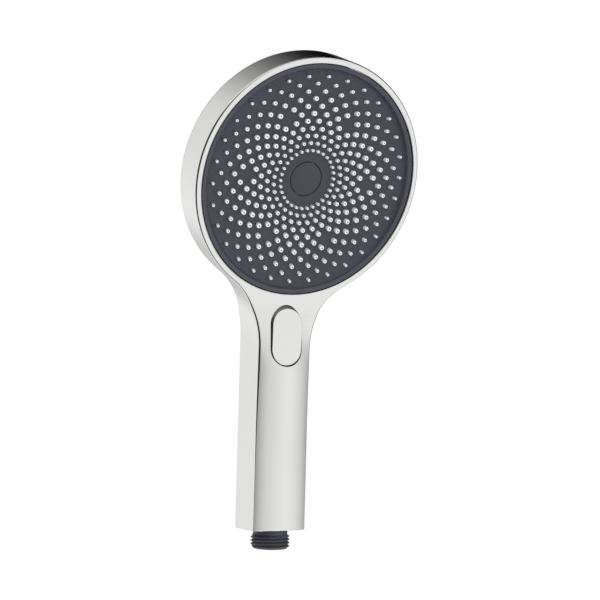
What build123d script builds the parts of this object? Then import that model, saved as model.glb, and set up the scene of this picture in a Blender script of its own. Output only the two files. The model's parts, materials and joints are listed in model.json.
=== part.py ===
"""Handheld shower head: a flat round head bent forward on a flat-sided handle.

Millimetres. +Z runs up the handle axis, -Y is the spray side and +X is to the
right when the spray face is seen. The origin is on the inlet axis, where the
threaded inlet leaves the end face of the handle.
"""
import math
import os

from build123d import *

# Head
HEAD_DIAMETER = 131.6
HEAD_DEPTH = 21.2
HEAD_TILT = 19.0
HEAD_CENTRE_Y = -33.5
HEAD_CENTRE_Z = 185.1
FACE_DIAMETER = 125.2
NECK_RADIUS = 40.0
RING_CHAMFER_WIDTH = 0.4
RING_CHAMFER_DEPTH = 0.2

# Handle
HANDLE_WIDTH = 31.2
HANDLE_PARTING_Y = -8.8
HANDLE_BACK_Y = 12.8
HANDLE_CROWN = 3.2
CROWN_FADE_START_Z = 84.5
CROWN_FADE_END_Z = 119.5
CROWN_FADE_STEPS = 6
CROWN_FADE_LEAST = 0.06
BEND_RADIUS = 26.0

# Shells
WALL = 2.2
COVER_EDGE = 0.9
LIP_DEPTH = 2.4
LIP_WALL = 1.1
BACK_EDGE_RADIUS = 2.4
FIT_GAP = 0.3
SEAL_GAP = 0.15
SEAL_SIDES = 4
END_WALL = 2.5

# Spray face and its nozzles
BEVEL_WIDTH = 3.0
BEVEL_DROP = 1.4
FACE_INSET = 0.3
PLATE_DEPTH = 5.4
PLATE_SLOPE_WIDTH = 2.0
PLATE_THICKNESS = 1.8
SKIRT_WALL = 2.0
SKIRT_DEPTH = 12.0
NOZZLE_RINGS = 11
NOZZLES_PER_RING = 30
NOZZLE_FIRST_RADIUS = 15.7
NOZZLE_RING_STEP = 3.96
NOZZLE_GAP_RING = 5
NOZZLE_GAP_EVERY = 5
NOZZLE_HEIGHT = 2.0
NOZZLE_SMALL_DIAMETER = 2.0
NOZZLE_LARGE_DIAMETER = 3.3
NOZZLE_TAPER = 0.8
NOZZLE_SPLAY = 10.0
NOZZLE_SIDES = 5
NOZZLE_ROOT = 0.5

# Middle of the head
CAP_DIAMETER = 18.4
CAP_THICKNESS = 1.4
CAP_GAP = 0.25
CAP_SKIRT_WALL = 1.2
CAP_SKIRT_DEPTH = 1.2
SCREW_DIAMETER = 4.0
SCREW_HEAD_DIAMETER = 7.6
SCREW_HEAD_HEIGHT = 1.4
SCREW_DRIVE = 2.5
SCREW_SEAL_THICKNESS = 0.6
HUB_DIAMETER = 13.0
HUB_FLOOR = 1.3
INSERT_DIAMETER = 6.8
POST_DIAMETER = 5.0
POST_CIRCLE_RADIUS = 50.0
POST_COUNT = 4

# Water chamber
MAT_THICKNESS = 1.2
CHAMBER_FLOOR = 2.0
CHAMBER_HEIGHT = 3.2
CHAMBER_RIM_WALL = 3.4
CHAMBER_SEAL_SECTION = 1.8
PORT_WIDTH = 10.0
PORT_HEIGHT = 6.0
PORT_OFFSET = -48.0

# Riser duct between the valve and the chamber
DUCT_WIDTH = 16.0
DUCT_DEPTH = 4.7
DUCT_WALL = 1.0
DUCT_LOW = -71.0
DUCT_HIGH = -41.0
GASKET_THICKNESS = 0.8
GASKET_BORDER = 1.6

# Button and its valve
BUTTON_Z = 103.1
BUTTON_WIDTH = 19.3
BUTTON_LENGTH = 32.5
BUTTON_FACE_Y = -12.9
BUTTON_TOP_WALL = 2.0
BUTTON_WALL = 1.4
BUTTON_FLANGE = 0.9
BUTTON_FLANGE_THICKNESS = 1.0
BUTTON_CHAMFER = 0.85
BUTTON_LEAN = 1.2
BUTTON_TRAVEL = 2.5
POCKET_FLOOR_Y = -8.4
VALVE_WIDTH = 21.0
VALVE_FRONT_Y = -2.0
VALVE_BACK_GAP = 0.5
VALVE_LOW_Z = 80.5
VALVE_BORE_DIAMETER = 10.2
SPOOL_CLEARANCE = 0.1
SPOOL_LENGTH = 3.3
SPOOL_SEAL_SECTION = 1.2
STEM_DIAMETER = 4.0
STEM_CLEARANCE = 0.15
STEM_SEAL_SECTION = 1.0
GLAND_FLANGE_DIAMETER = 14.0
GLAND_FLANGE_THICKNESS = 2.0
GLAND_SPIGOT = 1.5
SPRING_DIAMETER = 8.6
SPRING_WIRE = 0.7
SPRING_TURNS = 4.5
SPRING_STEPS = 12
WIRE_SIDES = 6

# Water tube and inlet
TUBE_DIAMETER = 12.0
TUBE_BORE = 9.6
SOCKET_DIAMETER = 16.8
SOCKET_DEPTH = 8.0
SOCKET_TOP_Z = 83.5
TUBE_SEAL_SECTION = 1.2
THREAD_DIAMETER = 20.955
THREAD_LENGTH = 10.3
THREAD_CHAMFER = 1.0
INLET_NECK_DIAMETER = 20.4
INLET_BORE = 9.6
FILTER_SEAT_DIAMETER = 15.0
FILTER_SEAT_DEPTH = 2.4
FILTER_THICKNESS = 1.6
FILTER_RIM = 1.6
FILTER_BAR = 0.8
INLET_FLANGE_DIAMETER = 24.0
INLET_FLANGE_THICKNESS = 3.0

# Worked out from the sizes above
TILT = math.radians(HEAD_TILT)
HEAD_RADIUS = HEAD_DIAMETER / 2
FACE_RADIUS = FACE_DIAMETER / 2
HALF_WIDTH = HANDLE_WIDTH / 2
CAP_RADIUS = CAP_DIAMETER / 2
SKIRT_OUTER = FACE_RADIUS - FIT_GAP
SKIRT_INNER = SKIRT_OUTER - SKIRT_WALL
PLATE_RADIUS = SKIRT_OUTER - BEVEL_WIDTH - PLATE_SLOPE_WIDTH
PLATE_FRONT_H = -PLATE_DEPTH
PLATE_BACK_H = PLATE_FRONT_H - PLATE_THICKNESS
CAP_FRONT_H = PLATE_FRONT_H
CAP_BACK_H = CAP_FRONT_H - CAP_THICKNESS
SCREW_HEAD_TOP_H = CAP_BACK_H - SEAL_GAP
SCREW_SEAL_TOP_H = SCREW_HEAD_TOP_H - SCREW_HEAD_HEIGHT
HUB_FLOOR_H = SCREW_SEAL_TOP_H - SCREW_SEAL_THICKNESS
HUB_BACK_H = HUB_FLOOR_H - HUB_FLOOR
CHAMBER_RIM_OUTER = SKIRT_INNER - FIT_GAP
CHAMBER_RIM_INNER = CHAMBER_RIM_OUTER - CHAMBER_RIM_WALL
CHAMBER_FRONT_H = PLATE_BACK_H - CHAMBER_HEIGHT
CHAMBER_BACK_H = CHAMBER_FRONT_H - CHAMBER_FLOOR
REAR_INNER_H = -HEAD_DEPTH + WALL
REAR_INNER_Y = HANDLE_BACK_Y - WALL
PARTING_H = -COVER_EDGE
COVER_BASE_Y = HANDLE_PARTING_Y - COVER_EDGE
BUTTON_BACK_Y = BUTTON_FACE_Y + BUTTON_TOP_WALL
FLANGE_FRONT_Y = POCKET_FLOOR_Y + FIT_GAP
SKIRT_END_Y = FLANGE_FRONT_Y + BUTTON_FLANGE_THICKNESS
GLAND_FRONT_Y = VALVE_FRONT_Y - GLAND_FLANGE_THICKNESS
SPOOL_FRONT_Y = VALVE_FRONT_Y + GLAND_SPIGOT + SEAL_GAP
STEM_SEAL_Y = VALVE_FRONT_Y + GLAND_SPIGOT - STEM_SEAL_SECTION
SPOOL_GROOVE_Y = SPOOL_FRONT_Y + (SPOOL_LENGTH - SPOOL_SEAL_SECTION) / 2
VALVE_BACK_Y = REAR_INNER_Y - VALVE_BACK_GAP
VALVE_BORE_END_Y = SPOOL_FRONT_Y + SPOOL_LENGTH + BUTTON_TRAVEL + FIT_GAP
DUCT_FRONT_H = CHAMBER_BACK_H - GASKET_THICKNESS
DUCT_BACK_H = DUCT_FRONT_H - DUCT_DEPTH
INLET_SHOULDER_Z = END_WALL + INLET_FLANGE_THICKNESS
INLET_SOCKET_TOP_Z = INLET_SHOULDER_Z + SOCKET_DEPTH
REACH = HEAD_DIAMETER * 2
EPS = 0.5

HEAD = Plane(
    origin=(0, HEAD_CENTRE_Y, HEAD_CENTRE_Z),
    x_dir=(1, 0, 0),
    z_dir=(0, -math.cos(TILT), -math.sin(TILT)),
)


def head_point(up, out):
    """(y, z) of a point of the middle plane: up along the head's face, out along its normal."""
    y = HEAD_CENTRE_Y - up * math.sin(TILT) - out * math.cos(TILT)
    z = HEAD_CENTRE_Z + up * math.cos(TILT) - out * math.sin(TILT)
    return (y, z)


def bend_point(y, out):
    """(y, z) where the handle's plane at y meets the head's plane at out."""
    up = (HEAD_CENTRE_Y - out * math.cos(TILT) - y) / math.sin(TILT)
    return head_point(up, out)


def outline(inset):
    """Front outline of head, neck and handle on the head's own plane, drawn in by inset."""
    radius = HEAD_RADIUS - inset
    half = HALF_WIDTH - inset
    disc = Circle(radius)
    strip = Pos(0, -REACH / 2) * Rectangle(2 * half, REACH)
    shape = disc + strip
    joint_up = -math.sqrt(radius**2 - half**2)
    corners = [v for v in shape.vertices() if abs(v.Y - joint_up) < 0.01]
    return fillet(corners, NECK_RADIUS + inset)


def outline_prism(inset):
    """The outline pulled through the whole depth of the object, along the head's normal."""
    return extrude(HEAD * outline(inset), amount=REACH, both=True)


def side_slab(front_y, front_h, back_y, back_h, low_z, front_bend, back_bend):
    """Bent slab seen from the side, between a front and a back surface, pulled along X."""
    top = HEAD_RADIUS + WALL
    front = bend_point(front_y, front_h)
    back = bend_point(back_y, back_h)
    points = [
        (front_y, low_z),
        front,
        head_point(top, front_h),
        head_point(top, back_h),
        back,
        (back_y, low_z),
    ]
    face = make_face(Plane.YZ * Polyline(*points, close=True))
    bends = [(front, front_bend), (back, back_bend)]
    for (y, z), radius in bends:
        near = [v for v in face.vertices() if abs(v.Y - y) + abs(v.Z - z) < 0.01]
        face = fillet(near, radius)
    return extrude(face, amount=REACH, both=True)


def rear_solid(inset):
    """Solid form of the rear half, with every surface but the parting drawn in by inset."""
    slab = side_slab(
        HANDLE_PARTING_Y,
        PARTING_H,
        HANDLE_BACK_Y - inset,
        -HEAD_DEPTH + inset,
        END_WALL if inset else 0.0,
        BEND_RADIUS,
        BEND_RADIUS - inset,
    )
    return outline_prism(inset) & slab


def crown_section(z, half, rise):
    """Front of the handle across X at height z: a chord closed by a shallow arc."""
    plane = Plane(origin=(0, COVER_BASE_Y, z), x_dir=(1, 0, 0), z_dir=(0, 0, 1))
    chord = Line((-half, 0), (half, 0))
    arc = ThreePointArc((half, 0), (0, -rise), (-half, 0))
    return plane * make_face(chord + arc)


def crown(inset):
    """Crowned front of the handle, which dies out in the neck below the head."""
    half = HALF_WIDTH - inset
    rise = HANDLE_CROWN - inset
    low_z = END_WALL if inset else 0.0
    straight = loft(
        [crown_section(low_z, half, rise), crown_section(CROWN_FADE_START_Z, half, rise)],
        ruled=True,
    )
    sections = []
    for step in range(CROWN_FADE_STEPS + 1):
        share = step / CROWN_FADE_STEPS
        z = CROWN_FADE_START_Z + (CROWN_FADE_END_Z - CROWN_FADE_START_Z) * share
        rest = max(CROWN_FADE_LEAST, 0.5 + 0.5 * math.cos(math.pi * share))
        sections.append(crown_section(z, half, rise * rest))
    fade = loft(sections, ruled=True)
    return straight + fade


def head_ring(inner, outer, low_h, high_h):
    """Round ring, or disc where inner is 0, about the head's axis."""
    ring = Cylinder(outer, high_h - low_h, align=(Align.CENTER, Align.CENTER, Align.MIN))
    if inner:
        ring -= Cylinder(inner, high_h - low_h, align=(Align.CENTER, Align.CENTER, Align.MIN))
    return HEAD * (Pos(0, 0, low_h) * ring)


def head_revolve(points):
    """Solid of revolution about the head's axis from (radius, out) points."""
    face = make_face(Plane.XZ * Polyline(*points, close=True))
    return HEAD * revolve(face, Axis.Z)


def handle_rod(radius, low_z, high_z):
    """Round rod on the inlet axis."""
    rod = Cylinder(radius, high_z - low_z, align=(Align.CENTER, Align.CENTER, Align.MIN))
    return Pos(0, 0, low_z) * rod


def valve_rod(radius, front_y, back_y):
    """Round rod on the button's axis."""
    plane = Plane(origin=(0, front_y, BUTTON_Z), x_dir=(1, 0, 0), z_dir=(0, 1, 0))
    rod = Cylinder(radius, back_y - front_y, align=(Align.CENTER, Align.CENTER, Align.MIN))
    return plane * rod


def pill_face(grow, stretch, y):
    """Outline of the button at y, grown all round and stretched at its upper end."""
    width = BUTTON_WIDTH + 2 * grow
    length = BUTTON_LENGTH + 2 * grow + stretch
    plane = Plane(origin=(0, y, BUTTON_Z + stretch / 2), x_dir=(0, 0, 1), z_dir=(0, 1, 0))
    return plane * SlotOverall(length, width)


def pill(grow, stretch, front_y, back_y):
    """Straight-sided pill of the button's outline, pulled from front_y to back_y."""
    return extrude(pill_face(grow, stretch, front_y), amount=back_y - front_y)


def seal_ring(plane, radius, section):
    """Seal about a plane's normal, with a many-sided section as near to round as a few faces give."""
    face = Plane.XZ * Pos(radius, 0) * RegularPolygon(section / 2, SEAL_SIDES)
    return plane * revolve(face, Axis.Z)


def make_rear_shell():
    """Chromed back and side wall, with the boss and posts that carry the water chamber."""
    body = rear_solid(0)
    back_edges = body.edges().filter_by(is_back_edge)
    body = fillet(back_edges, BACK_EDGE_RADIUS)
    body -= rear_solid(WALL)
    boss = head_ring(INSERT_DIAMETER / 2, HUB_DIAMETER / 2, REAR_INNER_H - EPS, CHAMBER_BACK_H)
    post = Cylinder(POST_DIAMETER / 2, CHAMBER_BACK_H - REAR_INNER_H + EPS)
    middle_h = (CHAMBER_BACK_H + REAR_INNER_H - EPS) / 2
    posts = PolarLocations(POST_CIRCLE_RADIUS, POST_COUNT, start_angle=45)
    body += boss
    for place in posts:
        body += HEAD * (Pos(0, 0, middle_h) * place * post)
    return body - handle_rod(THREAD_DIAMETER / 2 + FIT_GAP, -EPS, END_WALL + EPS)


def is_back_edge(edge):
    """True for an edge that lies on the back surface of the rear half."""
    for t in (0.0, 0.25, 0.5, 0.75, 1.0):
        p = edge.position_at(t)
        out = HEAD.to_local_coords(p).Z
        on_head = abs(out + HEAD_DEPTH) < 0.01
        on_handle = abs(p.Y - HANDLE_BACK_Y) < 0.01
        between = p.Y < HANDLE_BACK_Y + 0.01 and out < -HEAD_DEPTH + BEND_RADIUS * 0.05
        if not (on_head or on_handle or between):
            return False
    return True


def ring_chamfer():
    """Cutter for the shallow chamfer on the ring's inner edge."""
    outer = FACE_RADIUS + RING_CHAMFER_WIDTH
    inner = FACE_RADIUS - EPS
    return head_revolve(
        [(inner, -RING_CHAMFER_DEPTH), (FACE_RADIUS, -RING_CHAMFER_DEPTH), (outer, 0), (outer, EPS), (inner, EPS)]
    )


def make_front_cover():
    """Chromed front: the ring round the spray face and the crowned front of the handle."""
    plate = outline_prism(0) & side_slab(
        COVER_BASE_Y, 0, HANDLE_PARTING_Y, PARTING_H, 0, BEND_RADIUS, BEND_RADIUS
    )
    lip_inset = WALL + FIT_GAP
    lip = outline_prism(lip_inset) & side_slab(
        COVER_BASE_Y,
        0,
        HANDLE_PARTING_Y + LIP_DEPTH,
        PARTING_H - LIP_DEPTH,
        END_WALL + FIT_GAP,
        BEND_RADIUS,
        BEND_RADIUS,
    )
    body = plate + lip + (crown(0) & outline_prism(0))
    hollow_half = HALF_WIDTH - lip_inset - LIP_WALL
    hollow_length = CROWN_FADE_START_Z - END_WALL
    hollow = Pos(0, COVER_BASE_Y, END_WALL) * Box(
        2 * hollow_half,
        HANDLE_PARTING_Y + LIP_DEPTH + EPS - COVER_BASE_Y,
        hollow_length,
        align=(Align.CENTER, Align.MIN, Align.MIN),
    )
    body -= hollow
    body -= crown(WALL)
    body -= head_ring(0, FACE_RADIUS, -HEAD_DEPTH, EPS)
    body -= ring_chamfer()
    body -= pill(FIT_GAP, BUTTON_LEAN, BUTTON_FACE_Y - EPS, 0)
    body -= pill(FIT_GAP + BUTTON_FLANGE, BUTTON_LEAN, POCKET_FLOOR_Y, 0)
    return body - handle_rod(THREAD_DIAMETER / 2 + FIT_GAP, -EPS, END_WALL + EPS)


def nozzle_places():
    """(radius, angle, diameter) of each nozzle: staggered rings, with a regular gap in one ring."""
    step = 360.0 / NOZZLES_PER_RING
    for ring in range(NOZZLE_RINGS):
        radius = NOZZLE_FIRST_RADIUS + NOZZLE_RING_STEP * ring
        swell = math.sin(math.pi * ring / (NOZZLE_RINGS - 1))
        diameter = NOZZLE_SMALL_DIAMETER + (NOZZLE_LARGE_DIAMETER - NOZZLE_SMALL_DIAMETER) * swell
        for i in range(NOZZLES_PER_RING):
            if ring == NOZZLE_GAP_RING and i % NOZZLE_GAP_EVERY == 0:
                continue
            yield radius, step * (i + 0.5 * (ring % 2) - 0.5), diameter


def nozzle_solid(radius, angle, diameter):
    """One tapered nozzle tip, rooted in the plate and splayed outward with its radius."""
    lean = NOZZLE_SPLAY * radius / PLATE_RADIUS
    length = NOZZLE_HEIGHT + NOZZLE_ROOT
    root = RegularPolygon(diameter / 2, NOZZLE_SIDES)
    tip = RegularPolygon(diameter / 2 * NOZZLE_TAPER, NOZZLE_SIDES)
    shape = loft([root, Pos(0, 0, length) * tip], ruled=True)
    place = Rot(0, 0, angle) * Pos(radius, 0, PLATE_FRONT_H - NOZZLE_ROOT) * Rot(0, lean, 0)
    return place * shape


def make_spray_face():
    """Sunken dark plate with a bevelled rim, a skirt, a hub and every nozzle tip."""
    edge_h = -FACE_INSET
    bevel_h = edge_h - BEVEL_DROP
    bevel_radius = SKIRT_OUTER - BEVEL_WIDTH
    cup = CAP_RADIUS + CAP_GAP
    bolt = SCREW_DIAMETER / 2 + FIT_GAP
    profile = [
        (SKIRT_OUTER, edge_h),
        (bevel_radius, bevel_h),
        (PLATE_RADIUS, PLATE_FRONT_H),
        (cup, PLATE_FRONT_H),
        (cup, CAP_BACK_H),
        (CAP_RADIUS - CAP_SKIRT_WALL * 2, CAP_BACK_H),
        (CAP_RADIUS - CAP_SKIRT_WALL * 2, HUB_FLOOR_H),
        (bolt, HUB_FLOOR_H),
        (bolt, HUB_BACK_H),
        (HUB_DIAMETER / 2 + WALL, HUB_BACK_H),
        (HUB_DIAMETER / 2 + WALL, PLATE_BACK_H),
        (SKIRT_INNER, PLATE_BACK_H),
        (SKIRT_INNER, -SKIRT_DEPTH),
        (SKIRT_OUTER, -SKIRT_DEPTH),
    ]
    tips = [HEAD * nozzle_solid(*place) for place in nozzle_places()]
    return head_revolve(profile).fuse(*tips)


def make_nozzle_mat():
    """Silicone mat behind the plate, which the jets run through."""
    inner = HUB_DIAMETER / 2 + WALL + FIT_GAP
    outer = CHAMBER_RIM_INNER - FIT_GAP
    return head_ring(inner, outer, PLATE_BACK_H - MAT_THICKNESS, PLATE_BACK_H)


def make_chamber_plate():
    """Back of the water chamber, with the sealed rim that plugs into the spray face."""
    groove = CHAMBER_SEAL_SECTION + SEAL_GAP
    groove_floor = CHAMBER_RIM_OUTER - CHAMBER_SEAL_SECTION
    groove_top = CHAMBER_FRONT_H + groove
    bolt = SCREW_DIAMETER / 2 + FIT_GAP
    body = head_revolve(
        [
            (bolt, HUB_BACK_H),
            (HUB_DIAMETER / 2, HUB_BACK_H),
            (HUB_DIAMETER / 2, CHAMBER_FRONT_H),
            (CHAMBER_RIM_INNER, CHAMBER_FRONT_H),
            (CHAMBER_RIM_INNER, PLATE_BACK_H),
            (CHAMBER_RIM_OUTER, PLATE_BACK_H),
            (CHAMBER_RIM_OUTER, groove_top),
            (groove_floor, groove_top),
            (groove_floor, CHAMBER_FRONT_H),
            (CHAMBER_RIM_OUTER, CHAMBER_FRONT_H),
            (CHAMBER_RIM_OUTER, CHAMBER_BACK_H),
            (bolt, CHAMBER_BACK_H),
        ]
    )
    return body - port_cut(CHAMBER_BACK_H - EPS, CHAMBER_FRONT_H + EPS)


def port_cut(low_h, high_h):
    """Slot that joins the riser duct to the chamber."""
    slot = Box(PORT_WIDTH, PORT_HEIGHT, high_h - low_h, align=(Align.CENTER, Align.CENTER, Align.MIN))
    return HEAD * (Pos(0, PORT_OFFSET, low_h) * slot)


def make_chamber_seal():
    """O-ring in the groove of the chamber's rim."""
    radius = CHAMBER_RIM_OUTER - CHAMBER_SEAL_SECTION / 2
    plane = HEAD * Pos(0, 0, CHAMBER_FRONT_H + (CHAMBER_SEAL_SECTION + SEAL_GAP) / 2)
    return seal_ring(plane, radius, CHAMBER_SEAL_SECTION)


def make_centre_cap():
    """Round cap that hides the screw in the middle of the spray face."""
    disc = head_ring(0, CAP_RADIUS, CAP_BACK_H, CAP_FRONT_H)
    outer = CAP_RADIUS - CAP_SKIRT_WALL * 2 - SEAL_GAP
    skirt = head_ring(outer - CAP_SKIRT_WALL, outer, CAP_BACK_H - CAP_SKIRT_DEPTH, CAP_BACK_H)
    return disc + skirt


def make_centre_screw():
    """Screw that clamps the spray face and the chamber to the rear shell."""
    head = head_ring(0, SCREW_HEAD_DIAMETER / 2, SCREW_SEAL_TOP_H, SCREW_HEAD_TOP_H)
    shank = head_ring(0, SCREW_DIAMETER / 2, REAR_INNER_H + SEAL_GAP, SCREW_SEAL_TOP_H)
    drive = RegularPolygon(SCREW_DRIVE / 2, 6, major_radius=False)
    floor_h = SCREW_HEAD_TOP_H - SCREW_HEAD_HEIGHT * 0.6
    socket = HEAD * (Pos(0, 0, floor_h) * extrude(drive, SCREW_HEAD_HEIGHT))
    return head + shank - socket


def make_screw_seal():
    """Sealing washer under the screw's head."""
    return head_ring(
        SCREW_DIAMETER / 2 + FIT_GAP, SCREW_HEAD_DIAMETER / 2, HUB_FLOOR_H, SCREW_SEAL_TOP_H
    )


def make_threaded_insert():
    """Brass insert in the rear shell's boss, which takes the screw."""
    return head_ring(
        SCREW_DIAMETER / 2 + SEAL_GAP / 3, INSERT_DIAMETER / 2, REAR_INNER_H, CHAMBER_BACK_H
    )


def make_riser_duct():
    """Flat duct behind the chamber, from the valve up to the chamber's port."""
    length = DUCT_HIGH - DUCT_LOW
    outer = Box(DUCT_WIDTH, length, DUCT_DEPTH, align=(Align.CENTER, Align.MIN, Align.MIN))
    inner = Box(
        DUCT_WIDTH - 2 * DUCT_WALL,
        length - DUCT_WALL,
        DUCT_DEPTH - 2 * DUCT_WALL,
        align=(Align.CENTER, Align.MIN, Align.MIN),
    )
    body = fillet(outer.edges().filter_by(Axis.Y), DUCT_WALL)
    body -= Pos(0, 0, DUCT_WALL) * inner
    body = HEAD * (Pos(0, DUCT_LOW, DUCT_BACK_H) * body)
    return body - port_cut(DUCT_FRONT_H - DUCT_WALL - EPS, DUCT_FRONT_H + EPS)


def make_port_gasket():
    """Gasket between the riser duct and the chamber's back."""
    pad = Box(
        PORT_WIDTH + 2 * GASKET_BORDER,
        PORT_HEIGHT + 2 * GASKET_BORDER,
        GASKET_THICKNESS,
        align=(Align.CENTER, Align.CENTER, Align.MIN),
    )
    body = HEAD * (Pos(0, PORT_OFFSET, DUCT_FRONT_H) * pad)
    return body - port_cut(DUCT_FRONT_H - EPS, CHAMBER_BACK_H + EPS)


def make_valve_body():
    """Valve housing in the neck: a socket for the water tube below, the duct's seat on top."""
    profile = [
        (VALVE_FRONT_Y, VALVE_LOW_Z),
        (VALVE_FRONT_Y, head_point(DUCT_LOW, DUCT_FRONT_H)[1] - EPS),
        head_point(DUCT_LOW, DUCT_FRONT_H),
        head_point(DUCT_LOW, DUCT_BACK_H),
        bend_point(VALVE_BACK_Y, DUCT_BACK_H),
        (VALVE_BACK_Y, VALVE_LOW_Z),
    ]
    block = extrude(
        make_face(Plane.YZ * Polyline(*profile, close=True)), amount=VALVE_WIDTH / 2, both=True
    )
    boss = handle_rod(SOCKET_DIAMETER / 2, SOCKET_TOP_Z - SOCKET_DEPTH - WALL, SOCKET_TOP_Z)
    body = block + boss
    body -= handle_rod(TUBE_DIAMETER / 2 + SEAL_GAP / 2, 0, SOCKET_TOP_Z - WALL)
    body -= socket_groove(SOCKET_TOP_Z - SOCKET_DEPTH)
    body -= valve_rod(VALVE_BORE_DIAMETER / 2, VALVE_FRONT_Y - EPS, VALVE_BORE_END_Y)
    channel_y = (VALVE_FRONT_Y + VALVE_BORE_END_Y) / 2 + 1
    channel = Cylinder(
        (VALVE_BORE_END_Y - VALVE_FRONT_Y) / 4, REACH, align=(Align.CENTER, Align.CENTER, Align.MIN)
    )
    low = Pos(0, channel_y, SOCKET_TOP_Z - WALL - EPS) * channel
    below = Pos(0, 0, BUTTON_Z - REACH) * Box(
        REACH, REACH, REACH, align=(Align.CENTER, Align.CENTER, Align.MIN)
    )
    body -= low & below
    duct_middle = (DUCT_FRONT_H + DUCT_BACK_H) / 2
    out = Box(PORT_WIDTH, REACH / 8, DUCT_DEPTH - 2 * DUCT_WALL)
    lift = HEAD * (Pos(0, DUCT_LOW, duct_middle) * out)
    above = Pos(0, 0, BUTTON_Z) * Box(
        REACH, REACH, REACH, align=(Align.CENTER, Align.CENTER, Align.MIN)
    )
    return body - (lift & above)


def socket_groove(low_z):
    """Groove for a tube seal inside a socket, above the given height."""
    radius = TUBE_DIAMETER / 2 + TUBE_SEAL_SECTION + SEAL_GAP
    return handle_rod(radius, low_z + WALL, low_z + WALL + TUBE_SEAL_SECTION + SEAL_GAP)


def make_tube_seals():
    """O-rings that seal the water tube in its two sockets."""
    radius = TUBE_DIAMETER / 2 + SEAL_GAP + TUBE_SEAL_SECTION / 2
    half = (TUBE_SEAL_SECTION + SEAL_GAP) / 2 + WALL
    rings = [
        seal_ring(Pos(0, 0, low_z + half), radius, TUBE_SEAL_SECTION)
        for low_z in (INLET_SHOULDER_Z, SOCKET_TOP_Z - SOCKET_DEPTH)
    ]
    return Compound(children=rings)


def make_water_tube():
    """Tube up the handle from the inlet to the valve."""
    low_z = INLET_SHOULDER_Z + SEAL_GAP
    high_z = SOCKET_TOP_Z - WALL - SEAL_GAP
    return handle_rod(TUBE_DIAMETER / 2, low_z, high_z) - handle_rod(TUBE_BORE / 2, low_z, high_z)


def make_inlet():
    """Hose inlet: the threaded end outside, a flange on the end wall and the tube's socket inside."""
    rod = handle_rod(THREAD_DIAMETER / 2, -THREAD_LENGTH, 0)
    thread = chamfer(rod.edges().sort_by(Axis.Z)[0], THREAD_CHAMFER)
    neck = handle_rod(INLET_NECK_DIAMETER / 2, 0, END_WALL)
    flange = handle_rod(INLET_FLANGE_DIAMETER / 2, END_WALL, INLET_SHOULDER_Z)
    flat = Box(REACH, 2 * (REAR_INNER_Y - FIT_GAP), REACH)
    socket = handle_rod(SOCKET_DIAMETER / 2, INLET_SHOULDER_Z, INLET_SOCKET_TOP_Z)
    body = thread + neck + (flange & flat) + socket
    body -= handle_rod(INLET_BORE / 2, -THREAD_LENGTH - EPS, INLET_SHOULDER_Z + EPS)
    body -= handle_rod(FILTER_SEAT_DIAMETER / 2, -THREAD_LENGTH - EPS, FILTER_SEAT_DEPTH - THREAD_LENGTH)
    body -= handle_rod(TUBE_DIAMETER / 2 + SEAL_GAP / 2, INLET_SHOULDER_Z, INLET_SOCKET_TOP_Z + EPS)
    return body - socket_groove(INLET_SHOULDER_Z)


def make_inlet_filter():
    """Strainer in the mouth of the inlet: a rim with crossed bars."""
    low_z = FILTER_SEAT_DEPTH - THREAD_LENGTH - FILTER_THICKNESS
    high_z = low_z + FILTER_THICKNESS
    outer = FILTER_SEAT_DIAMETER / 2 - SEAL_GAP
    inner = outer - FILTER_RIM
    body = handle_rod(outer, low_z, high_z) - handle_rod(inner, low_z, high_z)
    length = 2 * inner + FILTER_RIM
    bar = Box(length, FILTER_BAR, FILTER_THICKNESS, align=(Align.CENTER, Align.CENTER, Align.MIN))
    for angle in (0, 60, 120):
        body += Pos(0, 0, low_z) * Rot(0, 0, angle) * bar
    return body


def make_mode_button():
    """Chromed pill-shaped push button, its upper end leaning back, hollow behind and flanged to stay in."""
    face_y = BUTTON_FACE_Y + BUTTON_CHAMFER
    face = loft([pill_face(-BUTTON_CHAMFER, 0, BUTTON_FACE_Y), pill_face(0, 0, face_y)], ruled=True)
    wall = loft([pill_face(0, 0, face_y), pill_face(0, BUTTON_LEAN, FLANGE_FRONT_Y)], ruled=True)
    flange = pill(BUTTON_FLANGE, BUTTON_LEAN, FLANGE_FRONT_Y, SKIRT_END_Y)
    hollow = pill(-BUTTON_WALL, 0, BUTTON_BACK_Y, SKIRT_END_Y + EPS)
    return face + wall + flange - hollow


def make_button_stem():
    """Stem from the button through the gland to the spool."""
    return valve_rod(STEM_DIAMETER / 2, BUTTON_BACK_Y, SPOOL_FRONT_Y)


def make_valve_spool():
    """Spool that opens and shuts the water's way through the valve, grooved for its seal."""
    radius = VALVE_BORE_DIAMETER / 2 - SPOOL_CLEARANCE
    core = radius - SPOOL_SEAL_SECTION
    end_y = SPOOL_FRONT_Y + SPOOL_LENGTH
    body = valve_rod(radius, SPOOL_FRONT_Y, SPOOL_GROOVE_Y)
    body += valve_rod(core, SPOOL_GROOVE_Y, SPOOL_GROOVE_Y + SPOOL_SEAL_SECTION)
    return body + valve_rod(radius, SPOOL_GROOVE_Y + SPOOL_SEAL_SECTION, end_y)


def make_spool_seal():
    """Seal in the spool's groove."""
    middle_y = SPOOL_GROOVE_Y + SPOOL_SEAL_SECTION / 2
    plane = Plane(origin=(0, middle_y, BUTTON_Z), x_dir=(1, 0, 0), z_dir=(0, 1, 0))
    radius = VALVE_BORE_DIAMETER / 2 - SPOOL_CLEARANCE - SPOOL_SEAL_SECTION / 2
    return seal_ring(plane, radius, SPOOL_SEAL_SECTION)


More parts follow.
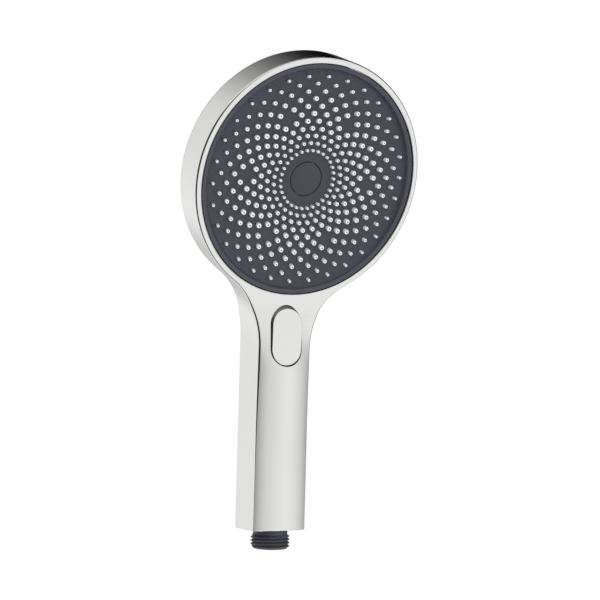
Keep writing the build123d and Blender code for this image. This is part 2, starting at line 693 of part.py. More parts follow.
def make_gland():
    """Gland that closes the valve bore and guides the stem."""
    body = valve_rod(GLAND_FLANGE_DIAMETER / 2, GLAND_FRONT_Y, VALVE_FRONT_Y)
    body += valve_rod(
        VALVE_BORE_DIAMETER / 2 - SEAL_GAP / 3, VALVE_FRONT_Y, VALVE_FRONT_Y + GLAND_SPIGOT
    )
    guide = STEM_DIAMETER / 2 + STEM_CLEARANCE
    body -= valve_rod(guide, GLAND_FRONT_Y - EPS, VALVE_FRONT_Y + GLAND_SPIGOT + EPS)
    return body - valve_rod(STEM_DIAMETER / 2 + STEM_SEAL_SECTION + SEAL_GAP, STEM_SEAL_Y, SPOOL_FRONT_Y)


def make_stem_seal():
    """Seal round the stem, in the step at the gland's inner end."""
    middle_y = STEM_SEAL_Y + STEM_SEAL_SECTION / 2
    plane = Plane(origin=(0, middle_y, BUTTON_Z), x_dir=(1, 0, 0), z_dir=(0, 1, 0))
    radius = STEM_DIAMETER / 2 + STEM_CLEARANCE + STEM_SEAL_SECTION / 2
    return seal_ring(plane, radius, STEM_SEAL_SECTION)


def make_return_spring():
    """Coil spring between the gland and the button, as short straight lengths of wire."""
    low_y = BUTTON_BACK_Y + SPRING_WIRE / 2
    height = GLAND_FRONT_Y - SPRING_WIRE / 2 - low_y
    radius = SPRING_DIAMETER / 2
    count = int(SPRING_TURNS * SPRING_STEPS)
    sections = []
    for i in range(count + 1):
        turn = 2 * math.pi * i / SPRING_STEPS
        centre = (radius * math.cos(turn), radius * math.sin(turn), height * i / count)
        outward = (math.cos(turn), math.sin(turn), 0)
        along = (-math.sin(turn), math.cos(turn), 0)
        plane = Plane(origin=centre, x_dir=outward, z_dir=along)
        sections.append(plane * RegularPolygon(SPRING_WIRE / 2, WIRE_SIDES))
    plane = Plane(origin=(0, low_y, BUTTON_Z), x_dir=(1, 0, 0), z_dir=(0, 1, 0))
    return plane * loft(sections, ruled=True)


PARTS = {
    "rear_shell": make_rear_shell,
    "front_cover": make_front_cover,
    "spray_face": make_spray_face,
    "nozzle_mat": make_nozzle_mat,
    "chamber_plate": make_chamber_plate,
    "chamber_seal": make_chamber_seal,
    "centre_cap": make_centre_cap,
    "centre_screw": make_centre_screw,
    "screw_seal": make_screw_seal,
    "threaded_insert": make_threaded_insert,
    "riser_duct": make_riser_duct,
    "port_gasket": make_port_gasket,
    "valve_body": make_valve_body,
    "tube_seals": make_tube_seals,
    "water_tube": make_water_tube,
    "hose_inlet": make_inlet,
    "inlet_filter": make_inlet_filter,
    "mode_button": make_mode_button,
    "button_stem": make_button_stem,
    "valve_spool": make_valve_spool,
    "spool_seal": make_spool_seal,
    "stem_gland": make_gland,
    "stem_seal": make_stem_seal,
    "return_spring": make_return_spring,
}


def main():
    """Builds every piece and writes one file for each."""
    os.makedirs("parts", exist_ok=True)
    for name, make in PARTS.items():
        export_step(make(), f"parts/{name}.step")


main()
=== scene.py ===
"""Looks of the handheld shower head, laid out as a Blender add-on and run as a script.

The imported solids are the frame. The pieces that the eye meets first are modelled here in more detail, in
metres, in the same frame: +Z up the handle, -Y towards the spray side.
"""
import json
import math

import bpy
from mathutils import Matrix, Vector


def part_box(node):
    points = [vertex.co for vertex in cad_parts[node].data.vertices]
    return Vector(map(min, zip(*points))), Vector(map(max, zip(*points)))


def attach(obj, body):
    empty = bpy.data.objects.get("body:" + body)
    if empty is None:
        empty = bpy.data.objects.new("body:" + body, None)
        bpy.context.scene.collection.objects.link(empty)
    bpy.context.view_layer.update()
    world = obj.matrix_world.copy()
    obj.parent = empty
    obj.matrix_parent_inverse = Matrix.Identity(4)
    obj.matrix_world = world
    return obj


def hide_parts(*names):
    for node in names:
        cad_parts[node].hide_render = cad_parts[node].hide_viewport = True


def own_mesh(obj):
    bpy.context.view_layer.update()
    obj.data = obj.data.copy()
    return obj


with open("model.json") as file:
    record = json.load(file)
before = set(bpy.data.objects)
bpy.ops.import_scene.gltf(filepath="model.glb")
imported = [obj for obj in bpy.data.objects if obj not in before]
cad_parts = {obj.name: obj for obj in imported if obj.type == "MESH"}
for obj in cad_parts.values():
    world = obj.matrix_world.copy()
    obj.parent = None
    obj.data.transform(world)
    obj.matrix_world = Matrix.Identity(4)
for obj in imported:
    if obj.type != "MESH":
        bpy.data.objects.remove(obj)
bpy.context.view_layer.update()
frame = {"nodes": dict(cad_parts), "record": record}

bl_info = {
    "name": "Handheld Shower Head",
    "version": (1, 0, 0),
    "blender": (4, 5, 0),
    "location": "View3D > Sidebar > Shower Head",
    "description": "Builds the visible pieces of a chromed handheld shower head around its solids",
    "category": "Object",
}

MM = 0.001
# Points closer than this are one point
MERGE = 0.001 * MM
# Steps round the head's large circles, and round smaller ones
LARGE_ROUND = 240
SMALL_ROUND = 96

# The head's own frame: X across, Y up along the face, Z out of the face
HEAD_TILT = math.radians(19.0)
HEAD_CENTRE = Vector((0.0, -33.5, 185.1)) * MM
HEAD_UP = Vector((0.0, -math.sin(HEAD_TILT), math.cos(HEAD_TILT)))
HEAD_OUT = Vector((0.0, -math.cos(HEAD_TILT), -math.sin(HEAD_TILT)))

# The housing: its outline on the head's plane, and its front surface seen from the side
HEAD_RADIUS = 65.795 * MM
FACE_RADIUS = 62.6 * MM
HALF_WIDTH = 15.6 * MM
NECK_RADIUS = 40.0 * MM
FRONT_Y = -9.7 * MM
PARTING_DEPTH = 0.9 * MM
# Centre of the arc that flares from handle to head, and where that arc meets the head's circle
FLARE_X = HALF_WIDTH + NECK_RADIUS
FLARE_UP = -math.sqrt((HEAD_RADIUS + NECK_RADIUS) ** 2 - FLARE_X**2)
FLARE_END_UP = FLARE_UP * HEAD_RADIUS / (HEAD_RADIUS + NECK_RADIUS)
# Place on the head's plane where the rows of the handle give way to the flat ring
JUNCTION_UP = -63.6 * MM
# Height where the neck has its full lean, and how slowly the lean sets in
LEAN_END_Z = 113.0 * MM
LEAN_POWER = 1.5
# Heights between which the outer edge grows rounder, and between which the wall turns square to the head
EDGE_GROWS = (20.0 * MM, 115.0 * MM)
WALL_TURNS = (86.0 * MM, 95.0 * MM)

# The spray face, with heights from the ring's front plane. The dish is measured at PLATE_RADIUS.
PLATE_RADIUS = 58.0 * MM
PLATE_BACK = -7.3 * MM
PLATE_STEP = 4.0 * MM
CAP_RADIUS = 9.0 * MM
CAP_GAP = 0.3 * MM
CUP_EDGE = 0.2 * MM
# Where the dish turns up in a soft cove, the foot of the lip, and where its polished band of painted sheen
# starts
COVE_RADIUS = 55.6 * MM
COVE_STEPS = 10
LIP_FOOT = (59.5 * MM, -1.2 * MM)
LIP_RADIUS = 59.6 * MM
# (radius, height) in millimetres over the lip to the top of the skirt, and down and up the skirt
LIP_PROFILE = ((59.8, -0.7), (60.2, -0.5), (61.85, -0.35), (62.05, -0.45), (62.15, -0.75))
SKIRT_PROFILE = ((62.15, -12.0), (60.2, -12.0))
# A nozzle: its sides, its jet hole, and how far it is rooted in the plate
TIP_SIDES = 12
JET_HOLE = 0.48 * MM
TIP_ROOT = 0.4 * MM

# The button: the outline of its foot, how far its upper wall leans, its hollow and its flat face
BUTTON_CENTRE = Vector((0.0, 0.0, 103.35)) * MM
BUTTON_SIDES = 130
BUTTON_WIDTH = 18.8 * MM
BUTTON_LENGTH = 31.6 * MM
BUTTON_LEAN = 1.3 * MM
BUTTON_FOOT = 7.3 * MM
BUTTON_SHOULDER = 11.2 * MM
BUTTON_WALL = 1.4 * MM
BUTTON_CEILING = 10.95 * MM
BUTTON_EDGE = 0.2 * MM
# Height of the face at its lower and upper end
BUTTON_FACE = (12.7 * MM, 13.4 * MM)
FACE_WIDTH = 17.6 * MM
FACE_LENGTH = 30.3 * MM


def frame_matrix(x, y, z, origin):
    """Matrix whose columns are three axes and an origin."""
    rows = [(x[i], y[i], z[i], origin[i]) for i in range(3)]
    return Matrix(rows + [(0, 0, 0, 1)])


def out_of_handle(origin):
    """Frame on the handle: X across, Y up the handle, Z out of its front."""
    return frame_matrix((1, 0, 0), (0, 0, 1), (0, -1, 0), origin)


HEAD = frame_matrix((1, 0, 0), HEAD_UP, HEAD_OUT, HEAD_CENTRE)
BUTTON = out_of_handle(BUTTON_CENTRE)


class ShowerFace(bpy.types.PropertyGroup):
    """Sizes of the spray face, in metres."""

    rings: bpy.props.IntProperty(name="Rings", description="Rings of nozzles", default=11, min=1)
    per_ring: bpy.props.IntProperty(name="Per Ring", description="Places in each ring", default=30, min=3)
    gap_ring: bpy.props.IntProperty(name="Gap Ring", description="Ring that leaves places out", default=5)
    gap_every: bpy.props.IntProperty(name="Gap Every", description="One place in so many left out", default=5)
    first_radius: bpy.props.FloatProperty(
        name="First Radius", description="Radius of the innermost ring", default=15.7 * MM, unit="LENGTH"
    )
    ring_step: bpy.props.FloatProperty(
        name="Ring Step", description="Distance from ring to ring", default=3.96 * MM, unit="LENGTH"
    )
    small_tip: bpy.props.FloatProperty(
        name="Small Tip",
        description="Width of the innermost and outermost tips",
        default=1.6 * MM,
        unit="LENGTH",
    )
    large_tip: bpy.props.FloatProperty(
        name="Large Tip", description="Width of the middle ring's tips", default=2.75 * MM, unit="LENGTH"
    )
    tip_height: bpy.props.FloatProperty(
        name="Tip Height",
        description="How far a tip stands out of the plate",
        default=2.1 * MM,
        unit="LENGTH",
    )
    splay: bpy.props.FloatProperty(
        name="Splay", description="Lean of the outermost tips", default=math.radians(12), subtype="ANGLE"
    )
    plate_depth: bpy.props.FloatProperty(
        name="Plate Depth",
        description="Depth of the plate's middle below the ring",
        default=5.2 * MM,
        unit="LENGTH",
    )
    dish: bpy.props.FloatProperty(
        name="Dish",
        description="Rise of the plate from its middle to its rim",
        default=2.35 * MM,
        unit="LENGTH",
    )


class ShowerCover(bpy.types.PropertyGroup):
    """Sizes of the chromed front cover, in metres."""

    crown: bpy.props.FloatProperty(
        name="Crown", description="Rise of the handle's rounded front", default=3.2 * MM, unit="LENGTH"
    )
    fade_start: bpy.props.FloatProperty(
        name="Fade Start",
        description="Height where the crown starts to flatten",
        default=84.5 * MM,
        unit="LENGTH",
    )
    fade_end: bpy.props.FloatProperty(
        name="Fade End", description="Height where the crown has gone", default=119.5 * MM, unit="LENGTH"
    )
    head_edge: bpy.props.FloatProperty(
        name="Head Edge", description="Rounding of the rim of head and neck", default=1.0 * MM, unit="LENGTH"
    )
    handle_edge: bpy.props.FloatProperty(
        name="Handle Edge",
        description="Rounding of the handle's edges at its lower end",
        default=0.12 * MM,
        unit="LENGTH",
    )
    end_edge: bpy.props.FloatProperty(
        name="End Edge", description="Rounding of the handle's lower end", default=1.1 * MM, unit="LENGTH"
    )
    chamfer_width: bpy.props.FloatProperty(
        name="Chamfer Width",
        description="Width of the chamfer round the face",
        default=0.4 * MM,
        unit="LENGTH",
    )
    chamfer_depth: bpy.props.FloatProperty(
        name="Chamfer Depth",
        description="Depth of the chamfer round the face",
        default=0.2 * MM,
        unit="LENGTH",
    )
    button_gap: bpy.props.FloatProperty(
        name="Button Gap", description="Gap round the push button", default=0.12 * MM, unit="LENGTH"
    )
    neck_lean: bpy.props.FloatProperty(
        name="Neck Lean",
        description="How far the neck has leaned forward at the head",
        default=1.6 * MM,
        unit="LENGTH",
    )
    lean_start: bpy.props.FloatProperty(
        name="Lean Start", description="Height where the neck starts to lean", default=50 * MM, unit="LENGTH"
    )
    bend_blend: bpy.props.FloatProperty(
        name="Bend Blend",
        description="Softness of the bend between neck and head",
        default=1.1 * MM,
        unit="LENGTH",
    )


class ShowerInlet(bpy.types.PropertyGroup):
    """Sizes of the hose thread, in metres."""

    major: bpy.props.FloatProperty(
        name="Major Diameter", description="Width over the crests", default=20.955 * MM, unit="LENGTH"
    )
    minor: bpy.props.FloatProperty(
        name="Minor Diameter", description="Width at the roots", default=18.631 * MM, unit="LENGTH"
    )
    pitch: bpy.props.FloatProperty(
        name="Pitch", description="Distance from crest to crest", default=1.814 * MM, unit="LENGTH"
    )
    length: bpy.props.FloatProperty(
        name="Length",
        description="How far the inlet stands out of the handle",
        default=10.3 * MM,
        unit="LENGTH",
    )
    relief: bpy.props.FloatProperty(
        name="Relief", description="Plain neck above the thread", default=2.8 * MM, unit="LENGTH"
    )


class ShowerColours(bpy.types.PropertyGroup):
    """Colours of the finishes, as sRGB hex values."""

    chrome: bpy.props.StringProperty(name="Chrome", description="Tint of the plating", default="F4F4F2")
    face: bpy.props.StringProperty(name="Face", description="Spray face and cap", default="3E3E4B")
    # The lip's colour is lighter than the face's: painted sheen on the same plastic
    lip: bpy.props.StringProperty(name="Lip", description="Polished lip of the face", default="454551")
    nozzle: bpy.props.StringProperty(name="Nozzle", description="Silicone tips", default="FDFDFF")
    # The sides' grey is painted shade on the same white silicone
    nozzle_wall_painted_shade: bpy.props.StringProperty(
        name="Nozzle Wall", description="Sides of the tips", default="C4C4CC"
    )
    # The jet holes' grey is painted shade inside them
    bore: bpy.props.StringProperty(name="Jet Hole", description="Inside of the jet holes", default="9C9CA4")
    inlet: bpy.props.StringProperty(name="Inlet", description="Threaded inlet", default="484853")
    acetal: bpy.props.StringProperty(name="Acetal", description="Water way and valve", default="E8E8E2")
    rubber: bpy.props.StringProperty(name="Rubber", description="Seals", default="1A1A1C")
    steel: bpy.props.StringProperty(name="Steel", description="Spring, stem and screw", default="C8C8C6")
    # The walls' grey is painted shade on the chrome
    skirt: bpy.props.StringProperty(name="Skirt", description="Walls of the push button", default="A0A0A0")
    brass: bpy.props.StringProperty(name="Brass", description="Threaded insert", default="D9B25F")
    floor: bpy.props.StringProperty(name="Floor", description="Floor and backdrop", default="F6F6F6")


def linear(code):
    """sRGB hex to linear RGBA."""
    values = [int(code[i : i + 2], 16) / 255 for i in (0, 2, 4)]
    return [v / 12.92 if v <= 0.04045 else ((v + 0.055) / 1.055) ** 2.4 for v in values] + [1.0]


def put(tree, kind, sockets=None, **settings):
    """Adds one node with its settings, and gives its sockets a value or a link."""
    made = tree.nodes.new(kind)
    for key, value in settings.items():
        setattr(made, key, value)
    for key, value in (sockets or {}).items():
        if isinstance(value, bpy.types.NodeSocket):
            tree.links.new(value, made.inputs[key])
        else:
            made.inputs[key].default_value = value
    return made


def new_material(name):
    """Empty material with its node tree and the object's own coordinates."""
    made = bpy.data.materials.new(name)
    made.use_nodes = True
    tree = made.node_tree
    tree.nodes.clear()
    coords = put(tree, "ShaderNodeTexCoord").outputs["Object"]
    return made, tree, coords


def per_mm(size):
    """Noise scale that gives features of a size in millimetres."""
    return 1.0 / (size * MM)


# The part of a noise's range that roughness is spread over
NOISE = {"From Min": 0.3, "From Max": 0.7}
# Shares of a plastic's colour in the dark and the light of its mottling
MOTTLE = (0.92, 1.07)


def chrome_plated_abs(colour):
    """Bright chrome over moulded ABS: a clear mirror, softened by faint waves of the moulding under it."""
    made, tree, coords = new_material("chrome_plated_abs")
    waves = put(tree, "ShaderNodeTexNoise", {"Vector": coords, "Scale": per_mm(14), "Detail": 1.0})
    haze = put(tree, "ShaderNodeTexNoise", {"Vector": coords, "Scale": per_mm(2.5), "Detail": 3.0})
    spread = {"Value": haze.outputs["Fac"], **NOISE, "To Min": 0.07, "To Max": 0.11}
    rough = put(tree, "ShaderNodeMapRange", spread)
    relief = {"Height": waves.outputs["Fac"], "Strength": 0.015, "Distance": 0.2 * MM}
    bump = put(tree, "ShaderNodeBump", relief)
    surface = {
        "Base Color": linear(colour),
        "Metallic": 1.0,
        "Roughness": rough.outputs["Result"],
        "Normal": bump.outputs["Normal"],
    }
    shader = put(tree, "ShaderNodeBsdfPrincipled", surface)
    put(tree, "ShaderNodeOutputMaterial", {"Surface": shader.outputs["BSDF"]})
    return made


def moulded_plastic(name, colour, grain, low, high, depth):
    """Moulded plastic with a spark-eroded grain: a soft sheen that breaks up on fine pits and mottling.

    The real grain is near 0.1 mm; it is drawn coarser so that it shows.
    """
    made, tree, coords = new_material(name)
    pits = put(tree, "ShaderNodeTexNoise", {"Vector": coords, "Scale": per_mm(grain), "Detail": 3.0})
    mottle = put(tree, "ShaderNodeTexNoise", {"Vector": coords, "Scale": per_mm(grain * 30), "Detail": 2.0})
    dark, light = [[c * share for c in linear(colour)[:3]] + [1.0] for share in MOTTLE]
    tints = {"Factor": mottle.outputs["Fac"], "A": dark, "B": light}
    tint = put(tree, "ShaderNodeMix", tints, data_type="RGBA")
    spread = {"Value": pits.outputs["Fac"], **NOISE, "To Min": low, "To Max": high}
    rough = put(tree, "ShaderNodeMapRange", spread)
    relief = {"Height": pits.outputs["Fac"], "Strength": depth, "Distance": 0.05 * MM}
    bump = put(tree, "ShaderNodeBump", relief)
    surface = {
        "Base Color": tint.outputs["Result"],
        "Roughness": rough.outputs["Result"],
        "IOR": 1.5,
        "Normal": bump.outputs["Normal"],
    }
    shader = put(tree, "ShaderNodeBsdfPrincipled", surface)
    put(tree, "ShaderNodeOutputMaterial", {"Surface": shader.outputs["BSDF"]})
    return made


def metal(name, colour, size, low, high):
    """Worked metal: its own colour, with roughness that varies over the marks left by the tool."""
    made, tree, coords = new_material(name)
    marks = put(tree, "ShaderNodeTexNoise", {"Vector": coords, "Scale": per_mm(size), "Detail": 4.0})
    spread = {"Value": marks.outputs["Fac"], **NOISE, "To Min": low, "To Max": high}
    rough = put(tree, "ShaderNodeMapRange", spread)
    surface = {"Base Color": linear(colour), "Metallic": 1.0, "Roughness": rough.outputs["Result"]}
    shader = put(tree, "ShaderNodeBsdfPrincipled", surface)
    put(tree, "ShaderNodeOutputMaterial", {"Surface": shader.outputs["BSDF"]})
    return made


# Moulded finishes: material, grain in millimetres, least and most roughness, and depth of the grain
MOULDED = {
    # Satin blue-grey plastic: an even sheen with no clear reflections
    "face": ("moulded_dark_abs", 0.5, 0.36, 0.5, 0.12),
    # Same plastic, polished in the mould: a narrower sheen along the lip; its lighter colour is painted sheen
    "lip": ("polished_dark_abs_lip_painted_sheen", 0.5, 0.26, 0.36, 0.05),
    # White silicone: smooth round ends that catch small soft highlights
    "nozzle": ("moulded_silicone", 0.8, 0.3, 0.42, 0.05),
    # Frosted silicone: sides duller than the ends, and greyer than them by painted shade
    "nozzle_wall_painted_shade": ("frosted_silicone_painted_shade", 0.8, 0.45, 0.55, 0.08),
    # Painted shade in the jet holes: a dull grey dot in the end of each tip
    "bore": ("silicone_jet_hole_painted_shade", 0.8, 0.5, 0.6, 0.05),
    # Glass-filled nylon: a dry dark grey with a broad sheen on the crests
    "inlet": ("moulded_glass_filled_nylon", 0.5, 0.4, 0.55, 0.15),
    # Natural acetal: a waxy off-white
    "acetal": ("moulded_white_acetal", 0.7, 0.35, 0.5, 0.1),
    # Black rubber: matt, with hardly a highlight
    "rubber": ("moulded_black_rubber", 0.4, 0.6, 0.75, 0.2),
}
# Worked metals: material, size of the marks in millimetres, and least and most roughness
METALS = {
    # Drawn wire and rod: bright, with highlights broken by fine marks
    "steel": ("drawn_stainless_steel", 0.6, 0.2, 0.35),
    # Satin plating on the button's walls: a broad blur in place of a mirror, grey by painted shade
    "skirt": ("satin_chrome_skirt_painted_shade", 0.6, 0.45, 0.55),
    # Turned brass: warm yellow with soft, broken highlights
    "brass": ("turned_brass", 0.5, 0.22, 0.38),
}
# The finish of the solids in each slot of the record
SLOT_FINISHES = {
    "chrome": "chrome",
    "dark_abs": "face",
    "inlet_plastic": "inlet",
    "silicone": "nozzle",
    "white_acetal": "acetal",
    "seal_rubber": "rubber",
    "steel": "steel",
    "brass": "brass",
}
# The materials by finish, once they are made
FINISHES = {}


def clear_selection():
    """Leaves nothing selected, so that an operator acts on the new piece alone."""
    if bpy.context.object and bpy.context.object.mode != "OBJECT":
        bpy.ops.object.mode_set(mode="OBJECT")
    bpy.ops.object.select_all(action="DESELECT")


def select_only(piece):
    """Makes one piece selected and active."""
    clear_selection()
    piece.select_set(True)
    bpy.context.view_layer.objects.active = piece


def new_circle(name, sides, radius, height=0.0, fill="NOTHING"):
    """Adds a circle about Z and leaves it alone in the selection."""
    clear_selection()
    bpy.ops.mesh.primitive_circle_add(vertices=sides, radius=radius, fill_type=fill, location=(0, 0, height))
    piece = bpy.context.object
    piece.name = name
    bpy.ops.object.transform_apply(location=True, rotation=False, scale=False)
    return piece


def close_mesh(piece, sides=0):
    """Merges doubled points, fills open ends of up to so many sides and turns the faces outwards."""
    select_only(piece)
    bpy.ops.object.mode_set(mode="EDIT")
    bpy.ops.mesh.select_all(action="SELECT")
    bpy.ops.mesh.remove_doubles(threshold=MERGE)
    if sides:
        bpy.ops.mesh.fill_holes(sides=sides)
        bpy.ops.mesh.select_all(action="SELECT")
    bpy.ops.mesh.normals_make_consistent(inside=False)
    bpy.ops.object.mode_set(mode="OBJECT")
    return piece


def lathe(name, profile, steps, caps=(False, False)):
    """Turns (radius, height) points about Z: a circle that is extruded from point to point.

    The two caps say whether the first and the last circle are closed.
    """
    radius, height = profile[0]
    piece = new_circle(name, steps, radius, height)
    bpy.ops.object.mode_set(mode="EDIT")
    bpy.ops.mesh.select_all(action="SELECT")
    if caps[0]:
        bpy.ops.mesh.edge_face_add()
        bpy.ops.mesh.select_all(action="SELECT")
    for (r0, h0), (r1, h1) in zip(profile, profile[1:]):
        bpy.ops.mesh.extrude_edges_indiv()
        bpy.ops.transform.translate(value=(0, 0, h1 - h0))
        bpy.ops.transform.resize(value=(r1 / r0, r1 / r0, 1), center_override=(0, 0, h1))
    if caps[1]:
        bpy.ops.mesh.edge_face_add()
    return close_mesh(piece)


def pill_loop(co, width, length, lean):
    """Moves a point of the unit circle to a pill outline whose upper end reaches further by lean."""
    side = 1.0 if co.y > 0 else -1.0
    rise = side * (length - width) / 2 + lean * max(0.0, co.y) ** 3
    return Vector((co.x * width / 2, co.y * width / 2 + rise, 0.0))


def pill(name, loops):
    """Closed pill-shaped block in the button's frame, extruded through its loops.

    A loop is a width, a length, a lean, and the heights of its lower and upper end.
    """
    piece = new_circle(name, BUTTON_SIDES, 1.0)
    circle = [vertex.co.copy() for vertex in piece.data.vertices]
    bpy.ops.object.mode_set(mode="EDIT")
    bpy.ops.mesh.select_all(action="SELECT")
    bpy.ops.mesh.edge_face_add()
    for _ in loops[1:]:
        bpy.ops.mesh.extrude_region()
    bpy.ops.object.mode_set(mode="OBJECT")
    for ring, (width, length, lean, low, high) in enumerate(loops):
        for i, co in enumerate(circle):
            place = pill_loop(co, width, length, lean)
            place.z = low + (high - low) * (place.y / length + 0.5)
            piece.data.vertices[ring * len(circle) + i].co = place
    return close_mesh(piece)


def settle(piece, matrix, angle=35):
    """Puts a piece in its frame, applies its place to its mesh and smooths edges below an angle."""
    select_only(piece)
    piece.matrix_world = matrix
    bpy.ops.object.transform_apply(location=True, rotation=True, scale=True)
    bpy.ops.object.shade_smooth_by_angle(angle=math.radians(angle))
    return piece


def apply_modifier(piece, kind, **settings):
    """Adds one modifier and applies it."""
    select_only(piece)
    made = piece.modifiers.new(kind.lower(), kind)
    for key, value in settings.items():
        setattr(made, key, value)
    bpy.ops.object.modifier_apply(modifier=made.name)


def trim(piece, tool, operation):
    """Cuts a piece with another, which is then removed."""
    apply_modifier(piece, "BOOLEAN", operation=operation, solver="EXACT", object=tool)
    bpy.data.objects.remove(tool)


def join(name, pieces):
    """Makes one piece of several."""
    clear_selection()
    for piece in pieces:
        piece.select_set(True)
    bpy.context.view_layer.objects.active = pieces[0]
    bpy.ops.object.join()
    pieces[0].name = name
    return pieces[0]


def finish_piece(piece, body, slot, finishes, *replaced):
    """Gives a piece its materials and body, and hides the solids that it stands for. The record slot is not
    used.
    """
    piece.data.materials.clear()
    for finish in finishes:
        piece.data.materials.append(FINISHES[finish])
    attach(piece, body)
    if replaced:
        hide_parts(*replaced)


class SHOWER_OT_finishes(bpy.types.Operator):
    """Makes every material and gives the carried-over solids theirs."""

    bl_idname = "shower.finishes"
    bl_label = "Finishes"

    def execute(self, context):
        colours = context.scene.shower_colours
        FINISHES["chrome"] = chrome_plated_abs(colours.chrome)
        for make, table in ((moulded_plastic, MOULDED), (metal, METALS)):
            for finish, (name, *surface) in table.items():
                FINISHES[finish] = make(name, getattr(colours, finish), *surface)
        for part in frame["record"]["subparts"]:
            solid = frame["nodes"][part["node"]]
            for slot in solid.material_slots:
                slot.material = FINISHES[SLOT_FINISHES[part["material_slot"]]]
        return {"FINISHED"}


def plate_height(face, radius):
    """Height of the dished plate at a radius, from the ring's front plane."""
    return face.dish * (radius / PLATE_RADIUS) ** 2 - face.plate_depth


class SHOWER_OT_spray_face(bpy.types.Operator):
    """Turns the dished dark plate with its soft cove, polished lip and skirt."""

    bl_idname = "shower.spray_face"
    bl_label = "Spray Face"

    def execute(self, context):
        face = context.scene.shower_face
        cup = CAP_RADIUS + CAP_GAP
        profile = [(cup, PLATE_BACK), (cup, plate_height(face, cup) - CUP_EDGE)]
        radius = cup + CUP_EDGE
        while radius < COVE_RADIUS:
            profile.append((radius, plate_height(face, radius)))
            radius += PLATE_STEP
        rim = plate_height(face, COVE_RADIUS)
        for step in range(COVE_STEPS + 1):
            turn = math.pi / 2 * step / COVE_STEPS
            across = COVE_RADIUS + (LIP_FOOT[0] - COVE_RADIUS) * math.sin(turn)
            profile.append((across, rim + (LIP_FOOT[1] - rim) * (1 - math.cos(turn))))
        profile += [(across * MM, height * MM) for across, height in LIP_PROFILE + SKIRT_PROFILE]
        profile += [(profile[-1][0], PLATE_BACK), (cup, PLATE_BACK)]
        piece = settle(lathe("spray_face_plate", profile, LARGE_ROUND), HEAD, angle=28)
        finish_piece(piece, "housing", "dark_abs", ("face", "lip"), "spray_face")
        # The lip's outward faces take the lighter colour of painted sheen
        to_head = HEAD.inverted()
        for polygon in piece.data.polygons:
            on_lip = (to_head @ polygon.center).xy.length > LIP_RADIUS
            polygon.material_index = 1 if on_lip and polygon.normal.dot(HEAD_OUT) > 0.5 else 0
        return {"FINISHED"}


def nozzle_places(face):
    """(ring, radius, angle) of each nozzle: staggered rings, with a regular gap in one of them."""
    step = 2 * math.pi / face.per_ring
    for ring in range(face.rings):
        radius = face.first_radius + face.ring_step * ring
        for i in range(face.per_ring):
            if ring == face.gap_ring and i % face.gap_every == 0:
                continue
            yield ring, radius, step * (i + 0.5 * (ring % 2) - 0.5)


class SHOWER_OT_nozzles(bpy.types.Operator):
    """Models one silicone tip with its jet hole and sets a copy at every place of the pattern."""

    bl_idname = "shower.nozzles"
    bl_label = "Nozzles"

    def execute(self, context):
        face = context.scene.shower_face
        half = 0.5 * face.large_tip
        top = face.tip_height
        # Up the slightly tapered side, over the rounded end and down into the jet hole
        profile = [
            (half * 1.02, -TIP_ROOT),
            (half * 0.98, top - 0.35 * MM),
            (half * 0.8, top),
            (JET_HOLE, top - 0.05 * MM),
            (JET_HOLE * 0.9, top - 0.25 * MM),
        ]
        master = lathe("nozzle_tip", profile, TIP_SIDES, (False, True))
        tips = []
        for ring, radius, angle in nozzle_places(face):
            swell = math.sin(math.pi * ring / (face.rings - 1))
            width = (face.small_tip + (face.large_tip - face.small_tip) * swell) / face.large_tip
            lean = face.splay * radius / PLATE_RADIUS
            tip = master.copy()
            tip.data = master.data.copy()
            context.scene.collection.objects.link(tip)
            tip.matrix_world = (
                HEAD
                @ Matrix.Rotation(angle, 4, "Z")
                @ Matrix.Translation((radius, 0, plate_height(face, radius)))
                @ Matrix.Rotation(lean, 4, "Y")
                @ Matrix.Diagonal((width, width, 1.0, 1.0))
            )
            tips.append(tip)
        bpy.data.objects.remove(master)
        piece = join("spray_nozzles", tips)
        settle(piece, piece.matrix_world.copy(), angle=50)
        finish_piece(piece, "housing", "silicone", ("nozzle", "bore", "nozzle_wall_painted_shade"))
        # Each tip's faces are in the order that they were made: side, end, then the hole and its floor
        per_tip = len(piece.data.polygons) // len(tips)
        for index, polygon in enumerate(piece.data.polygons):
            place = index % per_tip
            # The sides get the grey of painted shade
            if place < TIP_SIDES:
                polygon.material_index = 2
            else:
                # The jet hole and its floor get the grey of painted shade
                polygon.material_index = 1 if place >= per_tip - TIP_SIDES - 1 else 0
        return {"FINISHED"}


class SHOWER_OT_cap(bpy.types.Operator):
    """Turns the flat round cap in the middle of the face."""

    bl_idname = "shower.cap"
    bl_label = "Centre Cap"

    thickness = 1.4 * MM
    edge = 0.3 * MM

    def execute(self, context):
        top = plate_height(context.scene.shower_face, CAP_RADIUS)
        profile = [
            (CAP_RADIUS, top - self.thickness),
            (CAP_RADIUS, top - self.edge),
            (CAP_RADIUS - 0.08 * MM, top - 0.1 * MM),
            (CAP_RADIUS - self.edge, top),
        ]
        piece = settle(lathe("centre_cap_disc", profile, SMALL_ROUND, (True, True)), HEAD)
        finish_piece(piece, "housing", "dark_abs", ("face",), "centre_cap")
        return {"FINISHED"}


def head_height(up):
    """Height above the inlet of a place along the head's plane."""
    return HEAD_CENTRE.z + up * math.cos(HEAD_TILT)


def outline_edge(up):
    """Half width of neck or handle at a place along the head's plane, and the way out across its edge."""
    if up <= FLARE_UP:
        return HALF_WIDTH, Vector((1.0, 0.0))
    across = FLARE_X - math.sqrt(NECK_RADIUS**2 - (up - FLARE_UP) ** 2)
    return across, Vector((FLARE_X - across, FLARE_UP - up)) / NECK_RADIUS


def way_out_3d(way_out):
    """A way across the outline as a direction in space."""
    return Vector((way_out.x, 0.0, 0.0)) + HEAD_UP * way_out.y


def share_of(value, start, end):
    """How far a value is from start to end, from 0 to 1."""
    return min(1.0, max(0.0, (value - start) / (end - start)))


def ease(value, start, end):
    """Goes smoothly from 0 at start to 1 at end."""
    return 0.5 - 0.5 * math.cos(math.pi * share_of(value, start, end))


